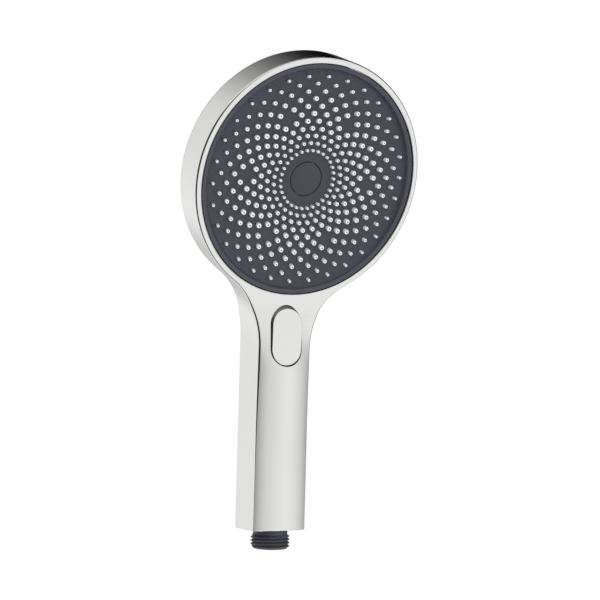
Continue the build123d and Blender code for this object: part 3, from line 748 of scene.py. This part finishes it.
def forward_of(z, lean, start, blend):
    """How far the middle line of the front stands forward at a height: handle, leaning neck, then head."""
    handle = -FRONT_Y + lean * share_of(z, start, LEAN_END_Z) ** LEAN_POWER
    head = -HEAD_CENTRE.y + (z - HEAD_CENTRE.z) * math.tan(HEAD_TILT)
    # The further forward of the two lines counts, and their corner is softened
    near = max(0.0, 1.0 - abs(handle - head) / blend)
    return max(handle, head) + 0.25 * blend * near**2


class SHOWER_OT_cover(bpy.types.Operator):
    """Lays out the chromed front cover: crowned handle front, bent neck and ring, with rounded edges."""

    bl_idname = "shower.cover"
    bl_label = "Front Cover"

    # Steps over the rounded edge and across the handle
    edge_steps = 8
    columns = 28
    # Rows at the rounded lower end, along the handle, and closer together from a height up
    end_rows = 5
    row_step = 6 * MM
    fine_from = 66 * MM
    fine_rows = 36
    # Places of the outline along each flare and round the head
    flare_stations = 6
    round_stations = 150
    # Shares of the lower end's rounding that the front takes at its sides, and that narrow the handle
    end_at_sides = 0.4
    end_narrowing = 0.8
    # How deep the opening for the face is cut, and from where to where the one for the button
    face_cut = 4 * MM
    button_cut = (6 * MM, 20 * MM)

    def execute(self, context):
        self.sizes = context.scene.shower_cover
        self.points = []
        self.faces = []
        self.lay_out()
        mesh = bpy.data.meshes.new("front_cover_shell")
        mesh.from_pydata(self.points, [], self.faces)
        piece = bpy.data.objects.new("front_cover_shell", mesh)
        context.scene.collection.objects.link(piece)
        close_mesh(piece)
        trim(piece, self.face_cutter(), "DIFFERENCE")
        trim(piece, self.button_cutter(), "DIFFERENCE")
        settle(piece, Matrix.Identity(4), angle=17)
        apply_modifier(piece, "WEIGHTED_NORMAL", keep_sharp=True, weight=80)
        finish_piece(piece, "housing", "chrome", ("chrome",), "front_cover")
        return {"FINISHED"}

    def face_cutter(self):
        """Round cutter for the spray face's opening, flared for the chamfer of the ring."""
        flare, slope = self.sizes.chamfer_width, self.sizes.chamfer_depth
        profile = [
            (FACE_RADIUS, -self.face_cut),
            (FACE_RADIUS, -slope),
            (FACE_RADIUS + flare, 0.0),
            (FACE_RADIUS + flare * 3, slope * 2),
        ]
        return settle(lathe("face_cutter", profile, LARGE_ROUND, (True, True)), HEAD)

    def button_cutter(self):
        """Cutter for the button's opening, wider than its foot by a running gap."""
        gap = 2 * self.sizes.button_gap
        outline = (BUTTON_WIDTH + gap, BUTTON_LENGTH + gap, BUTTON_LEAN)
        loops = [(*outline, height, height) for height in self.button_cut]
        return settle(pill("button_cutter", loops), BUTTON)

    def add(self, point):
        """Adds one point and gives its number."""
        self.points.append(point)
        return len(self.points) - 1

    def front_line(self, z):
        """Point of the middle line of the front surface, and the way out of the surface there."""
        sizes = (self.sizes.neck_lean, self.sizes.lean_start, self.sizes.bend_blend)
        step = 0.05 * MM
        slope = (forward_of(z + step, *sizes) - forward_of(z - step, *sizes)) / (2 * step)
        return Vector((0.0, -forward_of(z, *sizes), z)), Vector((0.0, -1.0, -slope)).normalized()

    def edge_radius(self, z):
        """Rounding of the outer edge, fuller in neck and head than at the handle's lower end."""
        handle, head = self.sizes.handle_edge, self.sizes.head_edge
        return handle + (head - handle) * ease(z, *EDGE_GROWS)

    def end_inset(self, z):
        """How far the rounding of the handle's lower end takes the surface in."""
        edge = self.sizes.end_edge
        return edge - math.sqrt(max(0.0, edge**2 - max(0.0, edge - z) ** 2))

    def surface(self, across, z, drop):
        """Point of the front surface, with the crown of the handle, lowered by drop."""
        point, out = self.front_line(z)
        half = outline_edge(min((point - HEAD_CENTRE).dot(HEAD_UP), FLARE_END_UP))[0]
        bow = 1.0 - min(1.0, (across / half) ** 2)
        rise = self.sizes.crown * (1.0 - ease(z, self.sizes.fade_start, self.sizes.fade_end))
        end_drop = self.end_inset(z) * (self.end_at_sides + (1.0 - self.end_at_sides) * bow)
        return Vector((across, point.y, point.z)) + out * (rise * bow - drop - end_drop)

    def edge_strip(self, across, z, way_out):
        """Points from the parting over the rounded edge to the front, at one place of the outline."""
        corner = self.front_line(z)[0]
        radius = self.edge_radius(z)
        front = Vector((across, corner.y, corner.z))
        # The side wall runs back square to the handle, and square to the head from the neck up
        back = Vector((0.0, 1.0, 0.0)).lerp(-HEAD_OUT, ease(z, *WALL_TURNS)).normalized()
        to_handle = (FRONT_Y + PARTING_DEPTH - front.y) / back.y
        to_head = ((front - HEAD_CENTRE).dot(HEAD_OUT) + PARTING_DEPTH) / -back.dot(HEAD_OUT)
        reach = max(0.5 * PARTING_DEPTH, min(to_handle, to_head))
        full = math.acos(max(0.0, 1.0 - reach / radius))
        strip = [self.add(front - way_out_3d(way_out) * radius * (1.0 - math.sin(full)) + back * reach)]
        for step in range(self.edge_steps + 1):
            turn = full * (1.0 - step / self.edge_steps)
            inset, drop = radius * (1.0 - math.sin(turn)), radius * (1.0 - math.cos(turn))
            inner_z = z - inset * way_out.y * math.cos(HEAD_TILT)
            strip.append(self.add(self.surface(across - inset * way_out.x, inner_z, drop)))
        return strip

    def rows(self):
        """Heights of the rows of handle and neck, from the lower end up."""
        edge = self.sizes.end_edge
        turns = [0.5 * math.pi * i / self.end_rows for i in range(self.end_rows + 1)]
        places = [edge * (1.0 - math.cos(turn)) for turn in turns]
        places += [self.row_step * i for i in range(1, round(self.fine_from / self.row_step))]
        rise = head_height(JUNCTION_UP) - self.fine_from
        return places + [self.fine_from + rise * i / self.fine_rows for i in range(self.fine_rows + 1)]

    def head_stations(self):
        """Places of the outline round the head, from the right of the neck to its left."""
        stations = []
        for i in range(1, self.flare_stations + 1):
            up = JUNCTION_UP + (FLARE_END_UP - JUNCTION_UP) * i / self.flare_stations
            across, way_out = outline_edge(up)
            stations.append((across, head_height(up), way_out))
        left = [(-across, z, Vector((-way.x, way.y))) for across, z, way in reversed(stations)]
        start = math.atan2(FLARE_UP, FLARE_X)
        sweep = math.pi - 2 * start
        for i in range(1, self.round_stations):
            turn = start + sweep * i / self.round_stations
            way_out = Vector((math.cos(turn), math.sin(turn)))
            stations.append((way_out.x * HEAD_RADIUS, head_height(way_out.y * HEAD_RADIUS), way_out))
        return stations + left

    def lay_out(self):
        """Fills the lists of points and faces."""
        right, left, bands = [], [], []
        for z in self.rows():
            half, way_out = outline_edge((self.front_line(z)[0] - HEAD_CENTRE).dot(HEAD_UP))
            half -= self.end_narrowing * self.end_inset(z)
            east = self.edge_strip(half, z, way_out)
            west = self.edge_strip(-half, z, Vector((-way_out.x, way_out.y)))
            radius = self.edge_radius(z)
            # The row's ends are shifted along the flare by the edge, so the row bends to meet them
            shift = radius * way_out.y * math.cos(HEAD_TILT)
            inner = half - radius * way_out.x
            band = [west[-1]]
            for i in range(1, self.columns):
                share = 2.0 * i / self.columns - 1.0
                band.append(self.add(self.surface(inner * share, z - shift * share**4, 0.0)))
            right.append(east)
            left.append(west)
            bands.append(band + [east[-1]])
        round_head = [self.edge_strip(*station) for station in self.head_stations()]
        for lines in (right + round_head + left[::-1], bands):
            for one, two in zip(lines, lines[1:]):
                for k in range(len(one) - 1):
                    self.faces.append((one[k], one[k + 1], two[k + 1], two[k]))
        # The flat of the ring, which the face's opening is cut from, and the lower end
        self.faces.append([strip[-1] for strip in round_head] + bands[-1])
        self.faces.append(left[0][:-1] + bands[0] + right[0][-2::-1])
        # The flat back, along the parting
        for i in range(len(right) - 1):
            self.faces.append((left[i][0], right[i][0], right[i + 1][0], left[i + 1][0]))
        self.faces.append([strip[0] for strip in round_head] + [left[-1][0], right[-1][0]])


class SHOWER_OT_button(bpy.types.Operator):
    """Extrudes the hollow pill-shaped push button, with sloping walls and a softened edge round its face."""

    bl_idname = "shower.button"
    bl_label = "Push Button"

    def execute(self, context):
        low, high = BUTTON_FACE
        edge = BUTTON_EDGE
        hollow = (BUTTON_WIDTH - 2 * BUTTON_WALL, BUTTON_LENGTH - 2 * BUTTON_WALL, 0.0)
        foot = (BUTTON_WIDTH, BUTTON_LENGTH, BUTTON_LEAN)
        loops = [
            (*hollow, BUTTON_CEILING, BUTTON_CEILING),
            (*hollow, BUTTON_FOOT, BUTTON_FOOT),
            (*foot, BUTTON_FOOT, BUTTON_FOOT),
            (*foot, BUTTON_SHOULDER, BUTTON_SHOULDER),
            (FACE_WIDTH + edge, FACE_LENGTH + edge, 0.0, low - edge, high - edge),
            (FACE_WIDTH, FACE_LENGTH, 0.0, low - edge / 4, high - edge / 4),
            (FACE_WIDTH - edge, FACE_LENGTH - edge, 0.0, low, high),
        ]
        piece = settle(pill("mode_button_shell", loops), BUTTON, angle=20)
        finish_piece(piece, "button", "chrome", ("chrome", "skirt"), "mode_button")
        # The face is a mirror, and the walls are satin, greyed by painted shade
        for polygon in piece.data.polygons:
            polygon.material_index = 0 if polygon.normal.y < -0.8 else 1
        return {"FINISHED"}


class SHOWER_OT_spring(bpy.types.Operator):
    """Winds the return spring between gland and button."""

    bl_idname = "shower.spring"
    bl_label = "Return Spring"

    wire = 0.7 * MM
    turns = 4.5
    steps_per_turn = 24
    wire_sides = 10

    def execute(self, context):
        low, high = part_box("return_spring")
        seat = Vector(((low.x + high.x) / 2, high.y, (low.z + high.z) / 2))
        length = high.y - low.y
        radius = (high.x - low.x - self.wire) / 2
        piece = new_circle("return_spring_coil", self.wire_sides, self.wire / 2)
        for vertex in piece.data.vertices:
            vertex.co = (radius + vertex.co.x, 0.0, self.wire / 2 + vertex.co.y)
        steps = int(self.turns * self.steps_per_turn)
        apply_modifier(
            piece,
            "SCREW",
            axis="Z",
            angle=2 * math.pi * self.turns,
            screw_offset=length - self.wire,
            steps=steps,
            render_steps=steps,
        )
        close_mesh(piece, self.wire_sides)
        settle(piece, out_of_handle(seat), angle=50)
        finish_piece(piece, "housing", "steel", ("steel",), "return_spring")
        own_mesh(piece)
        return {"FINISHED"}


class SHOWER_OT_inlet(bpy.types.Operator):
    """Turns the hose inlet and winds its thread."""

    bl_idname = "shower.inlet"
    bl_label = "Hose Inlet"

    # Radius and height of the water way, the strainer's seat, the flange, and the spigot with its socket
    bore = 4.8 * MM
    seat, seat_depth = 7.5 * MM, 2.4 * MM
    flange, flange_top = 10.2 * MM, 2.5 * MM
    spigot, spigot_top = 8.4 * MM, 13.5 * MM
    socket, socket_floor = 6.1 * MM, 5.5 * MM
    # The thread in shares of its pitch: half its width at root and crest, and how far below the end it starts
    root_share = 0.47
    crest_share = 0.06
    start_share = 0.17
    # The crest's rounding, how far the ridge reaches into the core, and the core's depth below the roots
    crest_edge = 0.12 * MM
    sink = 0.3 * MM
    core_inset = 0.05 * MM
    steps_per_turn = 72

    def execute(self, context):
        inlet = context.scene.shower_inlet
        core = self.turn_core(inlet)
        ridge = self.wind_ridge(inlet)
        trim(ridge, self.ridge_ends(inlet), "INTERSECT")
        piece = settle(join("hose_inlet_thread", [core, ridge]), Matrix.Identity(4), angle=32)
        finish_piece(piece, "housing", "inlet_plastic", ("inlet",), "hose_inlet")
        return {"FINISHED"}

    def turn_core(self, inlet):
        """The inlet without its ridge, from the socket through the bore, down and up its outside."""
        end = -inlet.length
        outside = inlet.minor / 2 - self.core_inset
        profile = [
            (self.bore, self.socket_floor),
            (self.bore, end + self.seat_depth),
            (self.seat, end + self.seat_depth),
            (self.seat, end + 0.2 * MM),
            (self.seat + 0.2 * MM, end),
            (outside - 0.3 * MM, end),
            (outside, end + 0.3 * MM),
            (outside, 0.0),
            (self.flange, 0.1 * MM),
            (self.flange, self.flange_top),
            (self.spigot, self.flange_top),
            (self.spigot, self.spigot_top),
            (self.socket, self.spigot_top),
            (self.socket, self.socket_floor),
            (self.bore, self.socket_floor),
        ]
        return lathe("inlet_core", profile, SMALL_ROUND)

    def wind_ridge(self, inlet):
        """The ridge of the thread, wound past both of its ends."""
        minor, major = inlet.minor / 2, inlet.major / 2
        root, crest = inlet.pitch * self.root_share, inlet.pitch * self.crest_share
        flank = [
            (minor - self.sink, root),
            (minor, root),
            (major - self.crest_edge, crest * 2.0),
            (major, crest * 0.6),
        ]
        corners = [(across, -along) for across, along in flank] + flank[::-1]
        ridge = new_circle("inlet_ridge", len(corners), 1 * MM)
        start = -inlet.length - self.start_share * inlet.pitch
        for vertex, (across, along) in zip(ridge.data.vertices, corners):
            vertex.co = (across, 0.0, start + along)
        apply_modifier(
            ridge,
            "SCREW",
            axis="Z",
            angle=2 * math.pi,
            screw_offset=inlet.pitch,
            iterations=int((-inlet.relief - start) / inlet.pitch) + 1,
            steps=self.steps_per_turn,
            render_steps=self.steps_per_turn,
            use_normal_calculate=True,
        )
        return close_mesh(ridge, len(corners))

    def ridge_ends(self, inlet):
        """The space that the ridge keeps: it runs in at the inlet's end and runs out at the relief."""
        minor, outside = inlet.minor / 2, inlet.major / 2 + 0.3 * MM
        profile = [
            (minor - 0.35 * MM, -inlet.length + 0.3 * MM),
            (outside, -inlet.length + 1.5 * MM),
            (outside, -inlet.relief - 0.9 * MM),
            (minor - 0.5 * MM, -inlet.relief + 0.4 * MM),
        ]
        return lathe("inlet_guard", profile, SMALL_ROUND, (True, True))


# The camera stands where the photograph was taken from
CAMERA_PLACE = Vector((-432.38, -785.87, 95.84)) * MM
CAMERA_RIGHT = Vector((0.8685, -0.4949, 0.0271))
CAMERA_UP = Vector((-0.0389, -0.0136, 0.9992))
CAMERA_BACK = Vector((-0.4942, -0.8688, -0.0310))
CAMERA_LENS = 99.53
CAMERA_SENSOR = 36.0

WHITE = (1, 1, 1, 1)
# Strength of the light that reflections see, and of the soft light on all sides
CARD_LIGHT = 0.86
SOFT_LIGHT = 0.72
# Name, place, size and power of each lamp, and the point that they are aimed at
LAMPS = (
    ("soft_box_left", (-0.7, -0.8, 0.9), 0.7, 5.0),
    ("soft_box_right", (0.9, -0.7, 0.4), 0.6, 2.0),
)
LAMP_AIM = Vector((0, -0.02, 0.13))
# The floor, and the distances between which it goes over into the backdrop
FLOOR_RADIUS = 0.5
FLOOR_Z = -0.12
FLOOR_FADE = {"From Min": 0.15, "From Max": 0.42, "To Min": 0.8, "To Max": 1.0}

# Soft dark cards of the studio, seen only in reflections. Each has an axis to look along, how far it counts
# height, (axis, start, end) fades and (cosine to its axis, brightness) stops.
CARDS = (
    # On the right and up: the black top of the head's wall
    (
        (1.0, 0.0, 0.0),
        1.0,
        (((0.0, 0.0, 1.0), -0.12, 0.38), ((0.0, 1.0, 0.0), -1.0, -0.3)),
        (
            (-0.6, 1.0),
            (-0.47, 0.93),
            (-0.36, 0.84),
            (-0.21, 0.62),
            (-0.05, 0.39),
            (0.13, 0.2),
            (0.29, 0.08),
            (0.4, 0.018),
            (0.5, 0.0),
        ),
    ),
    # On the left: the shade down the left of the handle's crown, and its dark edge line
    (
        (-0.899, -0.438, 0.0),
        0.0,
        (((0.0, 0.0, -1.0), -0.75, -0.4),),
        (
            (-0.1, 1.0),
            (-0.03, 0.985),
            (0.14, 0.935),
            (0.305, 0.865),
            (0.457, 0.8),
            (0.53, 0.7),
            (0.607, 0.58),
            (0.68, 0.3),
            (0.78, 0.1),
            (0.88, 0.03),
            (1.0, 0.01),
        ),
    ),
    # On the right: the shade down the right of the handle's crown
    (
        (0.97, 0.24, 0.0),
        1.0,
        (),
        (
            (0.42, 1.0),
            (0.51, 0.97),
            (0.635, 0.9),
            (0.708, 0.83),
            (0.773, 0.74),
            (0.829, 0.58),
            (0.9, 0.4),
            (1.0, 0.25),
        ),
    ),
    # Underneath: what faces the floor
    ((0.0, 0.0, -1.0), 1.0, (), ((0.9, 1.0), (0.96, 0.35), (1.0, 0.15))),
    # Behind: the shade on the wall where head and neck meet
    ((0.28, 0.935, -0.22), 1.0, (), ((0.9, 1.0), (0.945, 0.92), (0.975, 0.76), (1.0, 0.68))),
)


class SHOWER_OT_stage(bpy.types.Operator):
    """Sets the floor, the studio light and the camera."""

    bl_idname = "shower.stage"
    bl_label = "Stage"

    def execute(self, context):
        self.make_floor(context.scene.shower_colours.floor)
        self.make_world(context.scene)
        self.make_lamps(context.scene)
        self.make_camera(context.scene)
        context.scene.view_settings.view_transform = "Standard"
        return {"FINISHED"}

    def seen(self, tree):
        """1 for a ray by which the backdrop itself is seen, straight or through something clear."""
        path = put(tree, "ShaderNodeLightPath").outputs
        rays = {0: path["Is Camera Ray"], 1: path["Is Transmission Ray"]}
        return put(tree, "ShaderNodeMath", rays, operation="MAXIMUM").outputs["Value"]

    def make_floor(self, colour):
        """Plain pale floor below the part, as white as the backdrop where nothing shades it."""
        floor = new_circle("studio_floor", SMALL_ROUND, FLOOR_RADIUS, FLOOR_Z, "NGON")
        made, tree, coords = new_material("matt_white_backdrop_paper")
        paper = put(tree, "ShaderNodeBsdfDiffuse", {"Color": linear(colour)})
        glow = put(tree, "ShaderNodeEmission", {"Color": WHITE, "Strength": 1.0})
        away = put(tree, "ShaderNodeVectorMath", {0: coords}, operation="LENGTH")
        spread = {"Value": away.outputs["Value"], **FLOOR_FADE}
        fade = put(tree, "ShaderNodeMapRange", spread, interpolation_type="SMOOTHSTEP")
        both = {0: self.seen(tree), 1: fade.outputs["Result"]}
        shown = put(tree, "ShaderNodeMath", both, operation="MULTIPLY")
        layers = {0: shown.outputs["Value"], 1: paper.outputs["BSDF"], 2: glow.outputs["Emission"]}
        mix = put(tree, "ShaderNodeMixShader", layers)
        put(tree, "ShaderNodeOutputMaterial", {"Surface": mix.outputs["Shader"]})
        floor.data.materials.append(made)
        floor.visible_glossy = False

    def make_world(self, scene):
        """White backdrop for the eye, soft even light for the surfaces, dark cards for the chrome."""
        world = bpy.data.worlds.new("studio")
        scene.world = world
        world.use_nodes = True
        tree = world.node_tree
        tree.nodes.clear()
        direction = put(tree, "ShaderNodeTexCoord").outputs["Generated"]
        shade = WHITE
        for axis, height, fades, stops in CARDS:
            card = self.card(tree, direction, axis, height, stops)
            for side, start, end in fades:
                card = self.fade(tree, direction, card, side, start, end)
            pair = {"Factor": 1.0, "A": shade, "B": card}
            layer = put(tree, "ShaderNodeMix", pair, data_type="RGBA", blend_type="MULTIPLY")
            shade = layer.outputs["Result"]
        cards = put(tree, "ShaderNodeBackground", {"Color": shade, "Strength": CARD_LIGHT})
        soft = put(tree, "ShaderNodeBackground", {"Color": WHITE, "Strength": SOFT_LIGHT})
        white = put(tree, "ShaderNodeBackground", {"Color": WHITE, "Strength": 1.0})
        mirrored = put(tree, "ShaderNodeLightPath").outputs["Is Glossy Ray"]
        lights = {0: mirrored, 1: soft.outputs["Background"], 2: cards.outputs["Background"]}
        lit = put(tree, "ShaderNodeMixShader", lights)
        layers = {0: self.seen(tree), 1: lit.outputs["Shader"], 2: white.outputs["Background"]}
        final = put(tree, "ShaderNodeMixShader", layers)
        put(tree, "ShaderNodeOutputWorld", {"Surface": final.outputs["Shader"]})

    def card(self, tree, direction, axis, height, stops):
        """Brightness of one card for a ray."""
        flat = {0: direction, 1: (1, 1, height)}
        level = put(tree, "ShaderNodeVectorMath", flat, operation="MULTIPLY")
        ray = put(tree, "ShaderNodeVectorMath", {0: level.outputs["Vector"]}, operation="NORMALIZE")
        both = {0: ray.outputs["Vector"], 1: axis}
        cosine = put(tree, "ShaderNodeVectorMath", both, operation="DOT_PRODUCT")
        # A cosine goes from -1 to 1, and a place on the ramp from 0 to 1
        half = {0: cosine.outputs["Value"], 1: 0.5, 2: 0.5}
        place = put(tree, "ShaderNodeMath", half, operation="MULTIPLY_ADD")
        ramp = put(tree, "ShaderNodeValToRGB", {"Fac": place.outputs["Value"]})
        while len(ramp.color_ramp.elements) < len(stops):
            ramp.color_ramp.elements.new(1.0)
        for element, (cosine_at, shade) in zip(ramp.color_ramp.elements, stops):
            element.position = 0.5 * cosine_at + 0.5
            element.color = (shade, shade, shade, 1.0)
        return ramp.outputs["Color"]

    def fade(self, tree, direction, card, side, start, end):
        """Card that shows only for rays to one side."""
        cosine = put(tree, "ShaderNodeVectorMath", {0: direction, 1: side}, operation="DOT_PRODUCT")
        spread = {"Value": cosine.outputs["Value"], "From Min": start, "From Max": end}
        weight = put(tree, "ShaderNodeMapRange", spread, interpolation_type="SMOOTHSTEP")
        pair = {"Factor": weight.outputs["Result"], "A": WHITE, "B": card}
        return put(tree, "ShaderNodeMix", pair, data_type="RGBA").outputs["Result"]

    def make_lamps(self, scene):
        """A broad soft box high on the left and a weaker one on the right."""
        for name, place, size, power in LAMPS:
            data = bpy.data.lights.new(name, "AREA")
            data.size = size
            data.energy = power
            lamp = bpy.data.objects.new(name, data)
            scene.collection.objects.link(lamp)
            lamp.location = place
            lamp.visible_glossy = False
            aim = LAMP_AIM - Vector(place)
            lamp.rotation_euler = aim.to_track_quat("-Z", "Y").to_euler()

    def make_camera(self, scene):
        """Camera of the photograph."""
        data = bpy.data.cameras.new("photograph")
        data.lens = CAMERA_LENS
        data.sensor_width = CAMERA_SENSOR
        camera = bpy.data.objects.new("photograph", data)
        scene.collection.objects.link(camera)
        camera.matrix_world = frame_matrix(CAMERA_RIGHT, CAMERA_UP, CAMERA_BACK, CAMERA_PLACE)
        scene.camera = camera


GROUPS = {
    "shower_face": ShowerFace,
    "shower_cover": ShowerCover,
    "shower_inlet": ShowerInlet,
    "shower_colours": ShowerColours,
}
OPERATORS = (
    SHOWER_OT_finishes,
    SHOWER_OT_spray_face,
    SHOWER_OT_nozzles,
    SHOWER_OT_cap,
    SHOWER_OT_cover,
    SHOWER_OT_button,
    SHOWER_OT_spring,
    SHOWER_OT_inlet,
    SHOWER_OT_stage,
)


class SHOWER_PT_panel(bpy.types.Panel):
    """Lists the sizes, the colours and the steps in the sidebar."""

    bl_idname = "SHOWER_PT_panel"
    bl_label = "Shower Head"
    bl_space_type = "VIEW_3D"
    bl_region_type = "UI"
    bl_category = "Shower Head"

    def draw(self, context):
        for name in GROUPS:
            group = getattr(context.scene, name)
            box = self.layout.box()
            for key in group.__annotations__:
                box.prop(group, key)
        for operator in OPERATORS:
            self.layout.operator(operator.bl_idname)


def register():
    """Makes the sizes, colours, steps and panel known to Blender."""
    for name, group in GROUPS.items():
        bpy.utils.register_class(group)
        setattr(bpy.types.Scene, name, bpy.props.PointerProperty(type=group))
    for operator in OPERATORS:
        bpy.utils.register_class(operator)
    bpy.utils.register_class(SHOWER_PT_panel)


def unregister():
    """Takes back what register made known."""
    bpy.utils.unregister_class(SHOWER_PT_panel)
    for operator in reversed(OPERATORS):
        bpy.utils.unregister_class(operator)
    for name, group in GROUPS.items():
        delattr(bpy.types.Scene, name)
        bpy.utils.unregister_class(group)


def main():
    """Builds every piece in order."""
    register()
    bpy.ops.shower.finishes()
    bpy.ops.shower.spray_face()
    bpy.ops.shower.nozzles()
    bpy.ops.shower.cap()
    bpy.ops.shower.cover()
    bpy.ops.shower.button()
    bpy.ops.shower.spring()
    bpy.ops.shower.inlet()
    bpy.ops.shower.stage()


if __name__ == "__main__":
    main()
